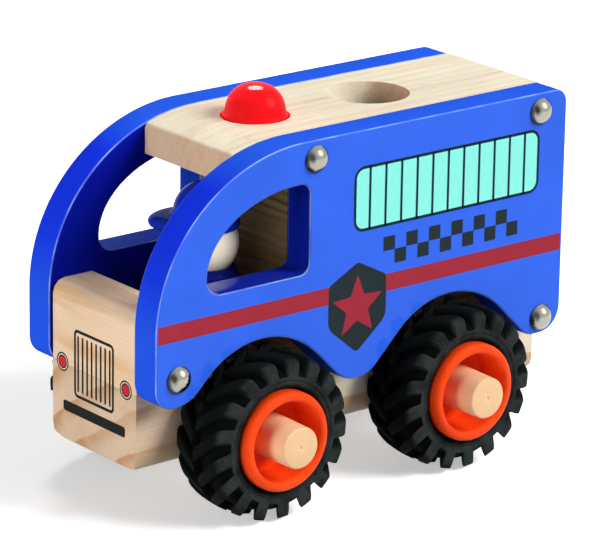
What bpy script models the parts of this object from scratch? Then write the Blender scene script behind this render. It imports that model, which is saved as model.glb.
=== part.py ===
"""Wooden toy police bus: two painted side panels on a pine core, rubber-tyred wheels on turned pegs.

Metres, +X forward, +Y to the bus's left, +Z up. The origin is on the floor, midway between the panels'
rear and front edges. An x written "from the rear" starts at the panels' rear edge, and a height starts at
the underside of the chassis board.
"""

import math

import bmesh
import bpy
from mathutils import Vector

# Fits
GLUE_GAP = 0.0003
RUNNING_CLEARANCE = 0.0004
SIDE_PLAY = 0.0005

# Along the bus
PANEL_LENGTH = 0.1770
FRONT_OVERHANG = 0.0440
REAR_OVERHANG = 0.0513

# Pine core between the panels
CORE_WIDTH = 0.0470
CORE_INSET = 0.0012
CHASSIS_THICKNESS = 0.0272
CHASSIS_EDGE = 0.0050
CHASSIS_END_EDGE = 0.0020
AXLE_HEIGHT = 0.0097
WALL_THICKNESS = 0.0120
CAB_LENGTH = 0.0634
BONNET_DEPTH = 0.0163
BONNET_HEIGHT = 0.0281
BONNET_NOSE_RADIUS = 0.0048
ROOF_THICKNESS = 0.0142
ROOF_OVERHANG = 0.0240
ROOF_REAR_RADIUS = 0.0025
ROOF_FRONT_RADIUS = 0.0025
ROOF_HOLE_RADIUS = 0.0145
ROOF_HOLE_FROM_REAR = 0.0600

# Painted side panels
PANEL_THICKNESS = 0.0120
PANEL_ROUND_OVER = 0.0007
PANEL_HEIGHT = 0.1067
NOSE_LENGTH = 0.0610
NOSE_HEIGHT = 0.0570
REAR_TOP_RADIUS = 0.0050
ARCH_GAP = 0.0032
REAR_FOOT_HEIGHT = 0.0191
REAR_FOOT_RADIUS = 0.0080
REAR_TOE_RADIUS = 0.0090
MIDDLE_FOOT_HEIGHT = 0.0197
MIDDLE_FOOT_RADIUS = 0.0120
MIDDLE_FOOT_LEAST = 0.0010
FRONT_FOOT_HEIGHT = 0.0251
FRONT_FOOT_RADIUS = 0.0140
FRONT_TOE_RADIUS = 0.0075
WINDOW_SILL_HEIGHT = 0.0609
WINDOW_BELOW_ROOF = 0.0003
WINDOW_PILLAR = 0.0208
WINDOW_REAR_RADIUS = 0.0038
WINDOW_TOE_RADIUS = 0.0058

# Dome-headed nails
NAIL_HEAD_RADIUS = 0.00475
NAIL_HEAD_HEIGHT = 0.0030
NAIL_SHANK_RADIUS = 0.0010
NAIL_LENGTH = 0.0200
NAIL_BELOW_ROOF_TOP = 0.0065
NAIL_BEHIND_CAB_WALL = 0.0023
NAIL_ROOF_REAR_FROM_REAR = 0.0121
NAIL_BONNET_ABOVE_CHASSIS = 0.0078
NAIL_CHASSIS_FROM_REAR = 0.0091
NAIL_CHASSIS_HEIGHT = 0.0250

# Beacon
BEACON_BEHIND_CAB_WALL = 0.0046
BEACON_DOME_RADIUS = 0.0109
BEACON_FLANGE_RADIUS = 0.0116
BEACON_FLANGE_HEIGHT = 0.0012
BEACON_BASE_HEIGHT = 0.0018
BEACON_SINK = 0.0020
BEACON_TENON_RADIUS = 0.0040
BEACON_TENON_LENGTH = 0.0080

# Wheels: tyre, hub and peg
TYRE_RADIUS = 0.0290
TYRE_WIDTH = 0.0230
LUG_HEIGHT = 0.0032
LUG_REACH = 0.0035
LUG_SIDE_STEP = 0.0007
LUGS_PER_SIDE = 17
LUG_SKEW = math.radians(20.0)
LUG_FAN = math.radians(1.2)
LUG_TAPER = math.radians(1.2)
TREAD_PHASE = math.radians(11.4)
SHOULDER_INSET = 0.0030
TREAD_CROWN = 0.0007
RIM_RADIUS = 0.0174
RIM_PROUD = 0.0029
RIM_STEP = 0.0019
LIP_WIDTH = 0.0041
LIP_THICKNESS = 0.0052
HUB_FLANGE = 0.0022
TYRE_INSET = 0.0005
HUB_WALL = 0.0020
HUB_WEB = 0.0030
HUB_BOSS_WALL = 0.0030
CUP_DEPTH = 0.0120
CUP_DRAFT = 0.0008
PEG_HEAD_RADIUS = 0.0076
PEG_END_RADIUS = 0.0073
PEG_EDGE = 0.0006
PEG_STAND_OUT = 0.0064
PEG_SHANK_RADIUS = 0.0045
PEG_HOLE_DEPTH = 0.0140

# Driver
DRIVER_FROM_WALL = 0.0158
DRIVER_BODY_RADIUS = 0.0112
DRIVER_HEADROOM = 0.0053
DRIVER_COLLAR_RISE = 0.0016
DRIVER_COLLAR_RADIUS = 0.0086
DRIVER_SOCKET_DEPTH = 0.0030
DRIVER_TURN = math.radians(-30.0)
HEAD_RADIUS = 0.0112
HEAD_HALF_HEIGHT = 0.0117
HEAD_TENON_RADIUS = 0.0070
HEAD_TENON_LENGTH = 0.0060
HEAD_SHOULDER = 0.0050
CAP_RADIUS = 0.0115
CAP_HEIGHT = 0.0158
CAP_BAND = 0.0046
PEAK_LENGTH = 0.0082
PEAK_THICKNESS = 0.0042

# Facets
TURNED_SIDES = 24
WHEEL_SIDES = 20
NAIL_SIDES = 12
LARGE_HOLE_SIDES = 36
OUTLINE_STEP = math.radians(13.0)
ROUND_OVER_STEPS = 1
ROOF_NOSE_STEPS = 5

# Places that follow from the sizes above
UNDERSIDE = TYRE_RADIUS - AXLE_HEIGHT
REAR_AXLE = REAR_OVERHANG
FRONT_AXLE = PANEL_LENGTH - FRONT_OVERHANG
CAB_WALL_FACE = PANEL_LENGTH - CAB_LENGTH
ROOF_UNDERSIDE = PANEL_HEIGHT - ROOF_THICKNESS
DRIVER_BASE_HEIGHT = CHASSIS_THICKNESS - DRIVER_SOCKET_DEPTH + GLUE_GAP
CAP_BASE_HEIGHT = ROOF_UNDERSIDE - DRIVER_HEADROOM - CAP_HEIGHT
HEAD_CENTRE_HEIGHT = CAP_BASE_HEIGHT - GLUE_GAP - HEAD_SHOULDER
HUB_WIDTH = TYRE_INSET + TYRE_WIDTH + RIM_PROUD
PANEL_FACE = CORE_WIDTH / 2 + GLUE_GAP + PANEL_THICKNESS
SIDES = {"left": 1, "right": -1}
AXLES = {"front": FRONT_AXLE, "rear": REAR_AXLE}


def fore(from_rear):
    """X of a distance from the panels' rear edge."""
    return from_rear - PANEL_LENGTH / 2


def up(height):
    """Z of a height above the chassis underside."""
    return UNDERSIDE + height


def remove_all():
    for old in list(bpy.data.objects):
        bpy.data.objects.remove(old, do_unlink=True)


def finish_material(name, colour, roughness, metallic=0.0):
    finish = bpy.data.materials.new(name)
    finish.use_nodes = True
    shader = finish.node_tree.nodes["Principled BSDF"]
    shader.inputs["Base Color"].default_value = (*colour, 1.0)
    shader.inputs["Roughness"].default_value = roughness
    shader.inputs["Metallic"].default_value = metallic
    return finish


def make_mesh(name, bm, finish, smooth=False):
    bmesh.ops.recalc_face_normals(bm, faces=bm.faces[:])
    mesh = bpy.data.meshes.new(name)
    bm.to_mesh(mesh)
    bm.free()
    mesh.materials.append(finish)
    if smooth:
        mesh.shade_smooth()
        mesh.set_sharp_from_angle(angle=math.radians(40.0))
    return mesh


def place(name, mesh, location=(0.0, 0.0, 0.0), turn=0.0, parent=None):
    """A named object on the given mesh, turned about Z, under an optional parent empty."""
    thing = bpy.data.objects.new(name, mesh)
    bpy.context.scene.collection.objects.link(thing)
    thing.location = location
    thing.rotation_euler = (0.0, 0.0, turn)
    thing.parent = parent
    return thing


def pivot(name, location, turn=0.0):
    """An empty on a joint's axis, which the moving pieces are parented to."""
    empty = place(name, None, location, turn)
    empty.empty_display_size = TYRE_RADIUS / 2
    return empty


def bridge_rings(bm, rings, closed=False):
    """Faces between neighbouring rings of vertices; a ring of one vertex is a pole."""
    pairs = list(zip(rings, rings[1:]))
    if closed:
        pairs.append((rings[-1], rings[0]))
    for lower, upper in pairs:
        count = max(len(lower), len(upper))
        for i in range(count):
            corners = [lower[i % len(lower)], lower[(i + 1) % len(lower)]]
            corners += [upper[(i + 1) % len(upper)], upper[i % len(upper)]]
            bm.faces.new(list(dict.fromkeys(corners)))


def turned(name, profile, finish, sides=TURNED_SIDES, closed=False, axis="Z"):
    """A lathe-turned mesh: the profile (radius, height) is carried round the axis in equal steps."""
    bm = bmesh.new()
    rings = []
    for radius, height in profile:
        ring = []
        for i in range(sides if radius > 0.0 else 1):
            angle = 2.0 * math.pi * i / sides
            across, along = radius * math.cos(angle), radius * math.sin(angle)
            point = (across, along, height) if axis == "Z" else (across, height, along)
            ring.append(bm.verts.new(point))
        rings.append(ring)
    bridge_rings(bm, rings, closed)
    return make_mesh(name, bm, finish, smooth=True)


def quarter_round(centre, radius, start, steps):
    """Points of a quarter circle in a turned profile, from the start angle on, counter-clockwise."""
    points = []
    for i in range(steps + 1):
        angle = start + 0.5 * math.pi * i / steps
        points.append((centre[0] + radius * math.cos(angle), centre[1] + radius * math.sin(angle)))
    return points


def rounded_chain(corners):
    """An open chain (x, z) through corners (x, z, radius), with an arc in place of each inner corner.

    Where two arcs would run into each other along a side, both give way in proportion.
    """
    spots = [Vector(corner[:2]) for corner in corners]
    reach = [0.0] * len(corners)
    halves = [0.0] * len(corners)
    for i in range(1, len(corners) - 1):
        halves[i] = (spots[i - 1] - spots[i]).angle(spots[i + 1] - spots[i]) / 2
        reach[i] = corners[i][2] / math.tan(halves[i])
    room = [1.0] * len(corners)
    for i in range(len(corners) - 1):
        wanted = reach[i] + reach[i + 1]
        if wanted > 0.0:
            share = min(1.0, (spots[i + 1] - spots[i]).length / wanted)
            room[i] = min(room[i], share)
            room[i + 1] = min(room[i + 1], share)
    chain = [spots[0]]
    for i in range(1, len(corners) - 1):
        back = (spots[i - 1] - spots[i]).normalized()
        ahead = (spots[i + 1] - spots[i]).normalized()
        radius = reach[i] * room[i] * math.tan(halves[i])
        centre = spots[i] + (back + ahead).normalized() * radius / math.sin(halves[i])
        first = spots[i] + back * reach[i] * room[i] - centre
        last = spots[i] + ahead * reach[i] * room[i] - centre
        sweep = math.pi - 2.0 * halves[i]
        steps = max(2, math.ceil(sweep / OUTLINE_STEP))
        for k in range(steps + 1):
            part = sweep * k / steps
            chain.append(centre + (first * math.sin(sweep - part) + last * math.sin(part)) / math.sin(sweep))
    chain.append(spots[-1])
    return chain


def quarter_ellipse(centre, across, high):
    """Inner points of a quarter ellipse, from its top back down to its front end."""
    steps = math.ceil(0.5 * math.pi / OUTLINE_STEP) + 2
    angles = [0.5 * math.pi * (1.0 - i / steps) for i in range(1, steps)]
    return [Vector((centre[0] + across * math.cos(a), centre[1] + high * math.sin(a))) for a in angles]


def without_doubles(outline):
    kept = []
    for spot in outline:
        if not kept or (spot - kept[-1]).length > 1e-6:
            kept.append(spot)
    if (kept[0] - kept[-1]).length <= 1e-6:
        kept.pop()
    return kept


def nose_height(from_rear):
    """Height of the panels' and roof's top line at a distance from the rear."""
    run = max(0.0, from_rear - (PANEL_LENGTH - NOSE_LENGTH)) / NOSE_LENGTH
    return PANEL_HEIGHT - NOSE_HEIGHT * (1.0 - math.sqrt(max(0.0, 1.0 - run * run)))


def panel_outline():
    """The side panel's edge: wheel arches round the axles, 45 degree flanks, three feet, elliptical nose."""
    peak = AXLE_HEIGHT + (TYRE_RADIUS + ARCH_GAP) * math.sqrt(2.0)
    arch = TYRE_RADIUS + ARCH_GAP
    middle = (REAR_AXLE + FRONT_AXLE) / 2
    tip = peak - (FRONT_AXLE - REAR_AXLE) / 2
    middle_foot = max(MIDDLE_FOOT_HEIGHT, tip + MIDDLE_FOOT_LEAST)
    half_foot = middle_foot - tip
    corners = [
        (PANEL_LENGTH, PANEL_HEIGHT - NOSE_HEIGHT, 0.0),
        (PANEL_LENGTH, FRONT_FOOT_HEIGHT, FRONT_TOE_RADIUS),
        (FRONT_AXLE + peak - FRONT_FOOT_HEIGHT, FRONT_FOOT_HEIGHT, FRONT_FOOT_RADIUS),
        (FRONT_AXLE, peak, arch),
        (middle + half_foot, middle_foot, MIDDLE_FOOT_RADIUS),
        (middle - half_foot, middle_foot, MIDDLE_FOOT_RADIUS),
        (REAR_AXLE, peak, arch),
        (REAR_AXLE - peak + REAR_FOOT_HEIGHT, REAR_FOOT_HEIGHT, REAR_FOOT_RADIUS),
        (0.0, REAR_FOOT_HEIGHT, REAR_TOE_RADIUS),
        (0.0, PANEL_HEIGHT, REAR_TOP_RADIUS),
        (PANEL_LENGTH - NOSE_LENGTH, PANEL_HEIGHT, 0.0),
    ]
    nose_centre = (PANEL_LENGTH - NOSE_LENGTH, PANEL_HEIGHT - NOSE_HEIGHT)
    return without_doubles(rounded_chain(corners) + quarter_ellipse(nose_centre, NOSE_LENGTH, NOSE_HEIGHT))


def window_outline():
    """The cab window: upright rear jamb, level sill and a front that follows a quarter ellipse."""
    front = PANEL_LENGTH - WINDOW_PILLAR
    head = ROOF_UNDERSIDE - WINDOW_BELOW_ROOF
    corners = [
        (CAB_WALL_FACE + WINDOW_REAR_RADIUS, head, 0.0),
        (CAB_WALL_FACE, head, WINDOW_REAR_RADIUS),
        (CAB_WALL_FACE, WINDOW_SILL_HEIGHT, WINDOW_REAR_RADIUS),
        (front, WINDOW_SILL_HEIGHT, WINDOW_TOE_RADIUS),
        (front, WINDOW_SILL_HEIGHT + WINDOW_TOE_RADIUS, 0.0),
    ]
    centre = (CAB_WALL_FACE + WINDOW_REAR_RADIUS, WINDOW_SILL_HEIGHT + WINDOW_TOE_RADIUS)
    curve = quarter_ellipse(centre, front - centre[0], head - centre[1])
    return without_doubles(rounded_chain(corners) + curve[::-1])


def offset_outline(outline, distance):
    """The outline moved sideways by a distance, to the left of its direction of travel."""
    moved = []
    for i, spot in enumerate(outline):
        back = (spot - outline[i - 1]).normalized()
        ahead = (outline[(i + 1) % len(outline)] - spot).normalized()
        side = Vector((-back.y - ahead.y, back.x + ahead.x)).normalized()
        lean = side.dot(Vector((-ahead.y, ahead.x)))
        moved.append(spot + side * distance / lean)
    return moved


def signed_area(outline):
    total = 0.0
    for i, spot in enumerate(outline):
        after = outline[(i + 1) % len(outline)]
        total += spot.x * after.y - after.x * spot.y
    return total / 2


def round_over_levels():
    """Inset and depth of each ring through the panel's thickness, with a quarter round at both faces."""
    levels = []
    for i in range(ROUND_OVER_STEPS + 1):
        angle = 0.5 * math.pi * i / ROUND_OVER_STEPS
        inset = PANEL_ROUND_OVER * (1.0 - math.sin(angle))
        levels.append((inset, PANEL_ROUND_OVER * (1.0 - math.cos(angle))))
    far_levels = [(inset, PANEL_THICKNESS - depth) for inset, depth in reversed(levels)]
    return levels + far_levels


def panel_mesh(finish):
    """One side panel lying between y = 0 and its thickness, with the window cut through."""
    bm = bmesh.new()
    end_loops = ([], [])
    for outline, into_wood in ((panel_outline(), 1.0), (window_outline(), -1.0)):
        turn = math.copysign(into_wood, signed_area(outline) * into_wood)
        rings = []
        for inset, depth in round_over_levels():
            spots = offset_outline(outline, turn * inset)
            rings.append([bm.verts.new((fore(s.x), depth, up(s.y))) for s in spots])
        bridge_rings(bm, rings)
        end_loops[0].append(rings[0])
        end_loops[1].append(rings[-1])
    for loops in end_loops:
        edges = []
        for ring in loops:
            edges += [bm.edges.get((ring[i - 1], ring[i])) for i in range(len(ring))]
        bmesh.ops.triangle_fill(bm, use_beauty=True, edges=edges)
    return make_mesh("side_panel", bm, finish)


def board_mesh(name, low, high, finish, rounded=()):
    """A board between two corners; rounded lists (direction, sides, radius) of edges to round.

    The direction is the axis the edges run along, and each side (axis, sign) says where they lie.
    """
    bm = bmesh.new()
    bmesh.ops.create_cube(bm, size=1.0)
    for vert in bm.verts:
        vert.co = Vector(low[i] if vert.co[i] < 0.0 else high[i] for i in range(3))
    middle = (Vector(low) + Vector(high)) / 2
    for direction, wanted, radius in rounded:
        chosen = []
        for edge in bm.edges:
            run = edge.verts[1].co - edge.verts[0].co
            centre = (edge.verts[0].co + edge.verts[1].co) / 2 - middle
            straight = abs(run[direction]) > 0.9 * run.length
            if straight and all(centre[axis] * sign > 0.0 for axis, sign in wanted):
                chosen.append(edge)
        bmesh.ops.bevel(bm, geom=chosen, offset=radius, segments=3, profile=0.5, affect="EDGES")
    return make_mesh(name, bm, finish)


def roof_mesh(finish):
    """The roof board: flat underside, top that follows the panels' nose, and rounded rear and front edges."""
    front = CAB_WALL_FACE + ROOF_OVERHANG
    start = PANEL_LENGTH - NOSE_LENGTH
    rear_corner = [
        (CORE_INSET, ROOF_UNDERSIDE, 0.0),
        (CORE_INSET, PANEL_HEIGHT, ROOF_REAR_RADIUS),
        (start, PANEL_HEIGHT, 0.0),
    ]
    outline = rounded_chain(rear_corner)
    last = front - ROOF_FRONT_RADIUS
    for i in range(1, ROOF_NOSE_STEPS + 1):
        from_rear = start + (last - start) * i / ROOF_NOSE_STEPS
        outline.append(Vector((from_rear, nose_height(from_rear))))
    front_corner = [
        (last, nose_height(last), 0.0),
        (front, nose_height(front), ROOF_FRONT_RADIUS),
        (front, ROOF_UNDERSIDE, 0.0),
    ]
    outline = without_doubles(outline + rounded_chain(front_corner))
    bm = bmesh.new()
    ends = []
    for y in (-CORE_WIDTH / 2, CORE_WIDTH / 2):
        ends.append([bm.verts.new((fore(s.x), y, up(s.y))) for s in outline])
        bm.faces.new(ends[-1])
    bridge_rings(bm, ends)
    return make_mesh("roof_board", bm, finish)


def rod_cutter(name, start, end, radius, sides):
    """A hidden cylinder between two points, for cutting a hole."""
    bm = bmesh.new()
    line = Vector(end) - Vector(start)
    bmesh.ops.create_cone(
        bm, cap_ends=True, segments=sides, radius1=radius, radius2=radius, depth=line.length
    )
    turn = Vector((0.0, 0.0, 1.0)).rotation_difference(line)
    middle = (Vector(start) + Vector(end)) / 2
    for vert in bm.verts:
        vert.co = turn @ vert.co + middle
    bmesh.ops.recalc_face_normals(bm, faces=bm.faces[:])
    mesh = bpy.data.meshes.new(name)
    bm.to_mesh(mesh)
    bm.free()
    cutter = place(name, mesh)
    cutter.hide_render = True
    cutter.display_type = "WIRE"
    return cutter


def cut(target, cutter):
    hole = target.modifiers.new(cutter.name, "BOOLEAN")
    hole.operation = "DIFFERENCE"
    hole.solver = "EXACT"
    hole.object = cutter


def tyre_section():
    """The tyre's closed section (radius, distance from the hub's inner face), and where its lugs stand.

    Returns the section's points and, for each point a lug covers, its side and how far the lug lifts it.
    """
    centre = TYRE_INSET + TYRE_WIDTH / 2
    carcass = TYRE_RADIUS - LUG_HEIGHT
    bore = RIM_RADIUS - RIM_STEP + GLUE_GAP
    bead = RIM_RADIUS + GLUE_GAP
    lug_foot = carcass - LUG_REACH
    half = TYRE_WIDTH / 2
    flank = [
        ((2 * bead + lug_foot) / 3, half),
        (lug_foot, half - LUG_SIDE_STEP / 2),
        (carcass - TREAD_CROWN, half - SHOULDER_INSET),
    ]
    lifts = {1: (LUG_SIDE_STEP / 2, LUG_SIDE_STEP / 2), 2: (LUG_HEIGHT, 2 * SHOULDER_INSET / 3)}
    points = [(bore, HUB_WIDTH - LIP_THICKNESS - GLUE_GAP), (bead, HUB_WIDTH - LIP_THICKNESS - GLUE_GAP)]
    covered = {}
    for i, (radius, aside) in enumerate(flank):
        if i in lifts:
            covered[len(points)] = (1, *lifts[i])
        points.append((radius, centre + aside))
    middle = len(points)
    points.append((carcass, centre))
    for i, (radius, aside) in reversed(list(enumerate(flank))):
        if i in lifts:
            covered[len(points)] = (-1, *lifts[i])
        points.append((radius, centre - aside))
    points += [(bead, HUB_FLANGE + GLUE_GAP), (bore, HUB_FLANGE + GLUE_GAP)]
    return points, covered, middle, centre


def tyre_mesh(finish):
    """A tractor tyre: a turned carcass, and two staggered rows of lugs that meet as chevrons in the middle.

    The carcass's columns lean forward and fan out towards the shoulders, and every other one on each side is
    drawn outwards as a lug, whose top is narrower than its foot.
    """
    points, covered, middle, centre = tyre_section()
    columns = 2 * LUGS_PER_SIDE
    pitch = 2.0 * math.pi / columns
    bm = bmesh.new()

    def spot(radius, y, column, taper=0.0):
        out = (y - centre) / (TYRE_WIDTH / 2)
        fan = LUG_FAN * out * (-1 if column % 2 == 0 else 1)
        angle = TREAD_PHASE + pitch * column + LUG_SKEW * abs(out) + fan + taper
        return Vector((radius * math.cos(angle), y, radius * math.sin(angle)))

    rings = []
    for radius, y in points:
        rings.append([bm.verts.new(spot(radius, y, column)) for column in range(columns)])
    bridge_rings(bm, rings, closed=True)
    where = {}
    for k, ring in enumerate(rings):
        for column, vert in enumerate(ring):
            where[vert] = (k, column)
    last = {1: min(covered), -1: max(covered)}
    lugs = []
    for side in (1, -1):
        low, high = sorted((middle, last[side]))
        for column in range(0 if side == 1 else 1, columns, 2):
            after = (column + 1) % columns
            faces = []
            for k in range(low, high):
                quad = [rings[k][column], rings[k][after], rings[k + 1][after], rings[k + 1][column]]
                faces.append(bm.faces.get(quad))
            lugs.append((side, column, faces))
    for side, column, faces in lugs:
        rims = {tuple(vert.co): where[vert] for face in faces for vert in face.verts}
        drawn = bmesh.ops.extrude_face_region(bm, geom=faces)
        bmesh.ops.delete(bm, geom=[face for face in faces if face.is_valid], context="FACES_ONLY")
        for vert in [item for item in drawn["geom"] if isinstance(item, bmesh.types.BMVert)]:
            k, edge = rims[tuple(vert.co)]
            lift, aside = covered[k][1:] if k in covered else (LUG_HEIGHT, LUG_SIDE_STEP)
            radius, y = points[k]
            taper = LUG_TAPER if edge == column else -LUG_TAPER
            vert.co = spot(radius + lift, y + side * aside, edge, taper)
    return make_mesh("tyre", bm, finish)


def hub_mesh(finish):
    """A moulded hub: bored boss, web, tyre barrel between a flange and a rounded lip, and a tapered cup."""
    barrel = RIM_RADIUS - RIM_STEP
    bore = PEG_SHANK_RADIUS + RUNNING_CLEARANCE
    floor = HUB_WIDTH - CUP_DEPTH
    mouth = RIM_RADIUS - LIP_WIDTH
    lip_round = LIP_WIDTH / 2
    profile = [
        (bore, 0.0),
        (bore + HUB_BOSS_WALL, 0.0),
        (bore + HUB_BOSS_WALL, floor - HUB_WEB),
        (barrel - HUB_WALL, floor - HUB_WEB),
        (barrel - HUB_WALL, 0.0),
        (RIM_RADIUS - RIM_STEP / 2, 0.0),
        (RIM_RADIUS - RIM_STEP / 2, HUB_FLANGE),
        (barrel, HUB_FLANGE),
        (barrel, HUB_WIDTH - LIP_THICKNESS),
        (RIM_RADIUS, HUB_WIDTH - LIP_THICKNESS),
    ]
    centre = (RIM_RADIUS - lip_round, HUB_WIDTH - lip_round)
    profile += quarter_round(centre, lip_round, 0.0, 2)
    profile += quarter_round(centre, lip_round, 0.5 * math.pi, 2)[1:]
    profile += [(mouth - CUP_DRAFT, floor), (bore, floor)]
    return turned("hub", profile, finish, sides=WHEEL_SIDES, closed=True, axis="Y")


def peg_mesh(finish):
    """A turned peg from the blind end of its hole out to its rounded head; y = 0 is the chassis side."""
    seat = SIDE_PLAY + HUB_WIDTH - CUP_DEPTH + RUNNING_CLEARANCE
    end = SIDE_PLAY + HUB_WIDTH + PEG_STAND_OUT
    root = GLUE_GAP - PEG_HOLE_DEPTH
    profile = [(0.0, end), (PEG_END_RADIUS - PEG_EDGE, end)]
    profile += [(PEG_END_RADIUS, end - PEG_EDGE), (PEG_HEAD_RADIUS, seat)]
    profile += [(PEG_SHANK_RADIUS, seat), (PEG_SHANK_RADIUS, root + PEG_EDGE)]
    profile += [(PEG_SHANK_RADIUS - PEG_EDGE, root), (0.0, root)]
    return turned("axle_peg", profile, finish, sides=WHEEL_SIDES, axis="Y")


def nail_mesh(finish):
    """A dome-headed nail along Y, with y = 0 on the panel's face."""
    steps = 3
    radius = (NAIL_HEAD_RADIUS**2 + NAIL_HEAD_HEIGHT**2) / (2.0 * NAIL_HEAD_HEIGHT)
    half = math.asin(NAIL_HEAD_RADIUS / radius)
    profile = []
    for i in range(steps + 1):
        angle = half * i / steps
        height = GLUE_GAP + NAIL_HEAD_HEIGHT - radius * (1.0 - math.cos(angle))
        profile.append((radius * math.sin(angle), height))
    profile += [(NAIL_SHANK_RADIUS, GLUE_GAP), (NAIL_SHANK_RADIUS, NAIL_SHANK_RADIUS - NAIL_LENGTH)]
    profile.append((0.0, -NAIL_LENGTH))
    return turned("nail", profile, finish, sides=NAIL_SIDES, axis="Y")


def beacon_mesh(finish):
    """The beacon: a hemisphere on a short straight base with a thin flange, and a tenon below."""
    profile = [(0.0, -BEACON_TENON_LENGTH), (BEACON_TENON_RADIUS, -BEACON_TENON_LENGTH)]
    profile += [(BEACON_TENON_RADIUS, 0.0), (BEACON_FLANGE_RADIUS, 0.0)]
    profile += [(BEACON_FLANGE_RADIUS, BEACON_FLANGE_HEIGHT), (BEACON_DOME_RADIUS, BEACON_BASE_HEIGHT)]
    profile += quarter_round((0.0, BEACON_BASE_HEIGHT), BEACON_DOME_RADIUS, 0.0, 6)[1:-1]
    profile.append((0.0, BEACON_BASE_HEIGHT + BEACON_DOME_RADIUS))
    return turned("beacon", profile, finish)


def head_height(radius, gap=0.0):
    """Height, above the head's centre, of the head's lower half at a radius, grown by a gap."""
    run = min(1.0, radius / (HEAD_RADIUS + gap))
    return -(HEAD_HALF_HEIGHT + gap) * math.sqrt(1.0 - run * run)


def driver_body_mesh(finish, head_centre):
    """A peg body with rounded shoulders and a dished collar that the head sits in; z = 0 is its base."""
    rim = head_centre + head_height(DRIVER_COLLAR_RADIUS, GLUE_GAP)
    top = rim - DRIVER_COLLAR_RISE
    profile = [(0.0, 0.0), (DRIVER_BODY_RADIUS - PEG_EDGE, 0.0), (DRIVER_BODY_RADIUS, PEG_EDGE)]
    profile += [(DRIVER_BODY_RADIUS, top - DRIVER_COLLAR_RISE), (DRIVER_BODY_RADIUS - PEG_EDGE, top)]
    profile.append((DRIVER_COLLAR_RADIUS, rim))
    for share in (0.75, 0.5, 0.25):
        radius = DRIVER_COLLAR_RADIUS * share
        profile.append((radius, head_centre + head_height(radius, GLUE_GAP)))
    profile.append((0.0, head_centre + head_height(0.0, GLUE_GAP)))
    return turned("driver_body", profile, finish)


def driver_head_mesh(finish):
    """An egg-shaped head about its centre, cut to a shoulder for the cap, with a tenon above it."""
    steps = 8
    top = math.acos(-HEAD_SHOULDER / HEAD_HALF_HEIGHT)
    profile = []
    for i in range(steps + 1):
        angle = top * i / steps
        profile.append((HEAD_RADIUS * math.sin(angle), -HEAD_HALF_HEIGHT * math.cos(angle)))
    tip = HEAD_SHOULDER + HEAD_TENON_LENGTH
    profile += [(HEAD_TENON_RADIUS, HEAD_SHOULDER), (HEAD_TENON_RADIUS, tip), (0.0, tip)]
    return turned("driver_head", profile, finish)


def driver_cap_mesh(finish):
    """A domed cap whose lower band swells forward into a thick rounded peak; z = 0 is its underside.

    The peak adds to the band's radius by the cube of the cosine of the angle from straight ahead.
    """
    socket = HEAD_TENON_RADIUS + GLUE_GAP
    depth = HEAD_TENON_LENGTH + GLUE_GAP
    section = [(0.0, depth, 0.0), (socket, depth, 0.0), (socket, 0.0, 0.0), (CAP_RADIUS - PEG_EDGE, 0.0, 0.0)]
    section += [(CAP_RADIUS, PEG_EDGE, 0.80), (CAP_RADIUS, PEAK_THICKNESS / 2, 1.0)]
    section += [(CAP_RADIUS, PEAK_THICKNESS, 0.85), (CAP_RADIUS, CAP_BAND, 0.0)]
    steps = 6
    for i in range(1, steps):
        angle = 0.5 * math.pi * i / steps
        rise = CAP_BAND + (CAP_HEIGHT - CAP_BAND) * math.sin(angle)
        section.append((CAP_RADIUS * math.cos(angle), rise, 0.0))
    section.append((0.0, CAP_HEIGHT, 0.0))
    bm = bmesh.new()
    rings = []
    for radius, height, share in section:
        ring = []
        for i in range(TURNED_SIDES if radius > 0.0 else 1):
            angle = 2.0 * math.pi * i / TURNED_SIDES
            reach = radius + share * PEAK_LENGTH * max(0.0, math.cos(angle)) ** 3
            ring.append(bm.verts.new((reach * math.cos(angle), reach * math.sin(angle), height)))
        rings.append(ring)
    bridge_rings(bm, rings)
    return make_mesh("driver_cap", bm, finish, smooth=True)


def build_core(pine):
    """Chassis, bonnet block, cab back wall, rear wall and roof, glued up between the panels."""
    half = CORE_WIDTH / 2
    floor = CHASSIS_THICKNESS
    rear = fore(CORE_INSET)
    front = fore(PANEL_LENGTH - CORE_INSET)
    wall_low = up(floor + GLUE_GAP)
    wall_high = up(ROOF_UNDERSIDE - GLUE_GAP)
    chassis_edges = [
        (0, ((2, -1),), CHASSIS_EDGE),
        (1, ((2, -1),), CHASSIS_END_EDGE),
    ]
    boards = {
        "chassis_board": ((rear, -half, up(0.0)), (front, half, up(floor)), chassis_edges),
        "bonnet_block": (
            (front - BONNET_DEPTH, -half, wall_low),
            (front, half, up(floor + BONNET_HEIGHT)),
            [(1, ((0, 1), (2, 1)), BONNET_NOSE_RADIUS)],
        ),
        "cab_back_wall": (
            (fore(CAB_WALL_FACE - WALL_THICKNESS), -half, wall_low),
            (fore(CAB_WALL_FACE), half, wall_high),
            [],
        ),
        "rear_wall": ((rear, -half, wall_low), (rear + WALL_THICKNESS, half, wall_high), []),
    }
    core = {}
    for name, (low, high, rounded) in boards.items():
        core[name] = place(name, board_mesh(name, low, high, pine[name], rounded))
    core["roof_board"] = place("roof_board", roof_mesh(pine["roof_board"]))
    hole = fore(ROOF_HOLE_FROM_REAR)
    ends = (hole, 0.0, up(ROOF_UNDERSIDE - ROOF_THICKNESS)), (hole, 0.0, up(PANEL_HEIGHT + ROOF_THICKNESS))
    cut(core["roof_board"], rod_cutter("cut_roof_hole", *ends, ROOF_HOLE_RADIUS, LARGE_HOLE_SIDES))
    return core


def build_panels(blue):
    mesh = panel_mesh(blue)
    inner = CORE_WIDTH / 2 + GLUE_GAP
    starts = {"left": inner, "right": -inner - PANEL_THICKNESS}
    return {side: place(f"side_panel_{side}", mesh, (0.0, y, 0.0)) for side, y in starts.items()}


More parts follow.
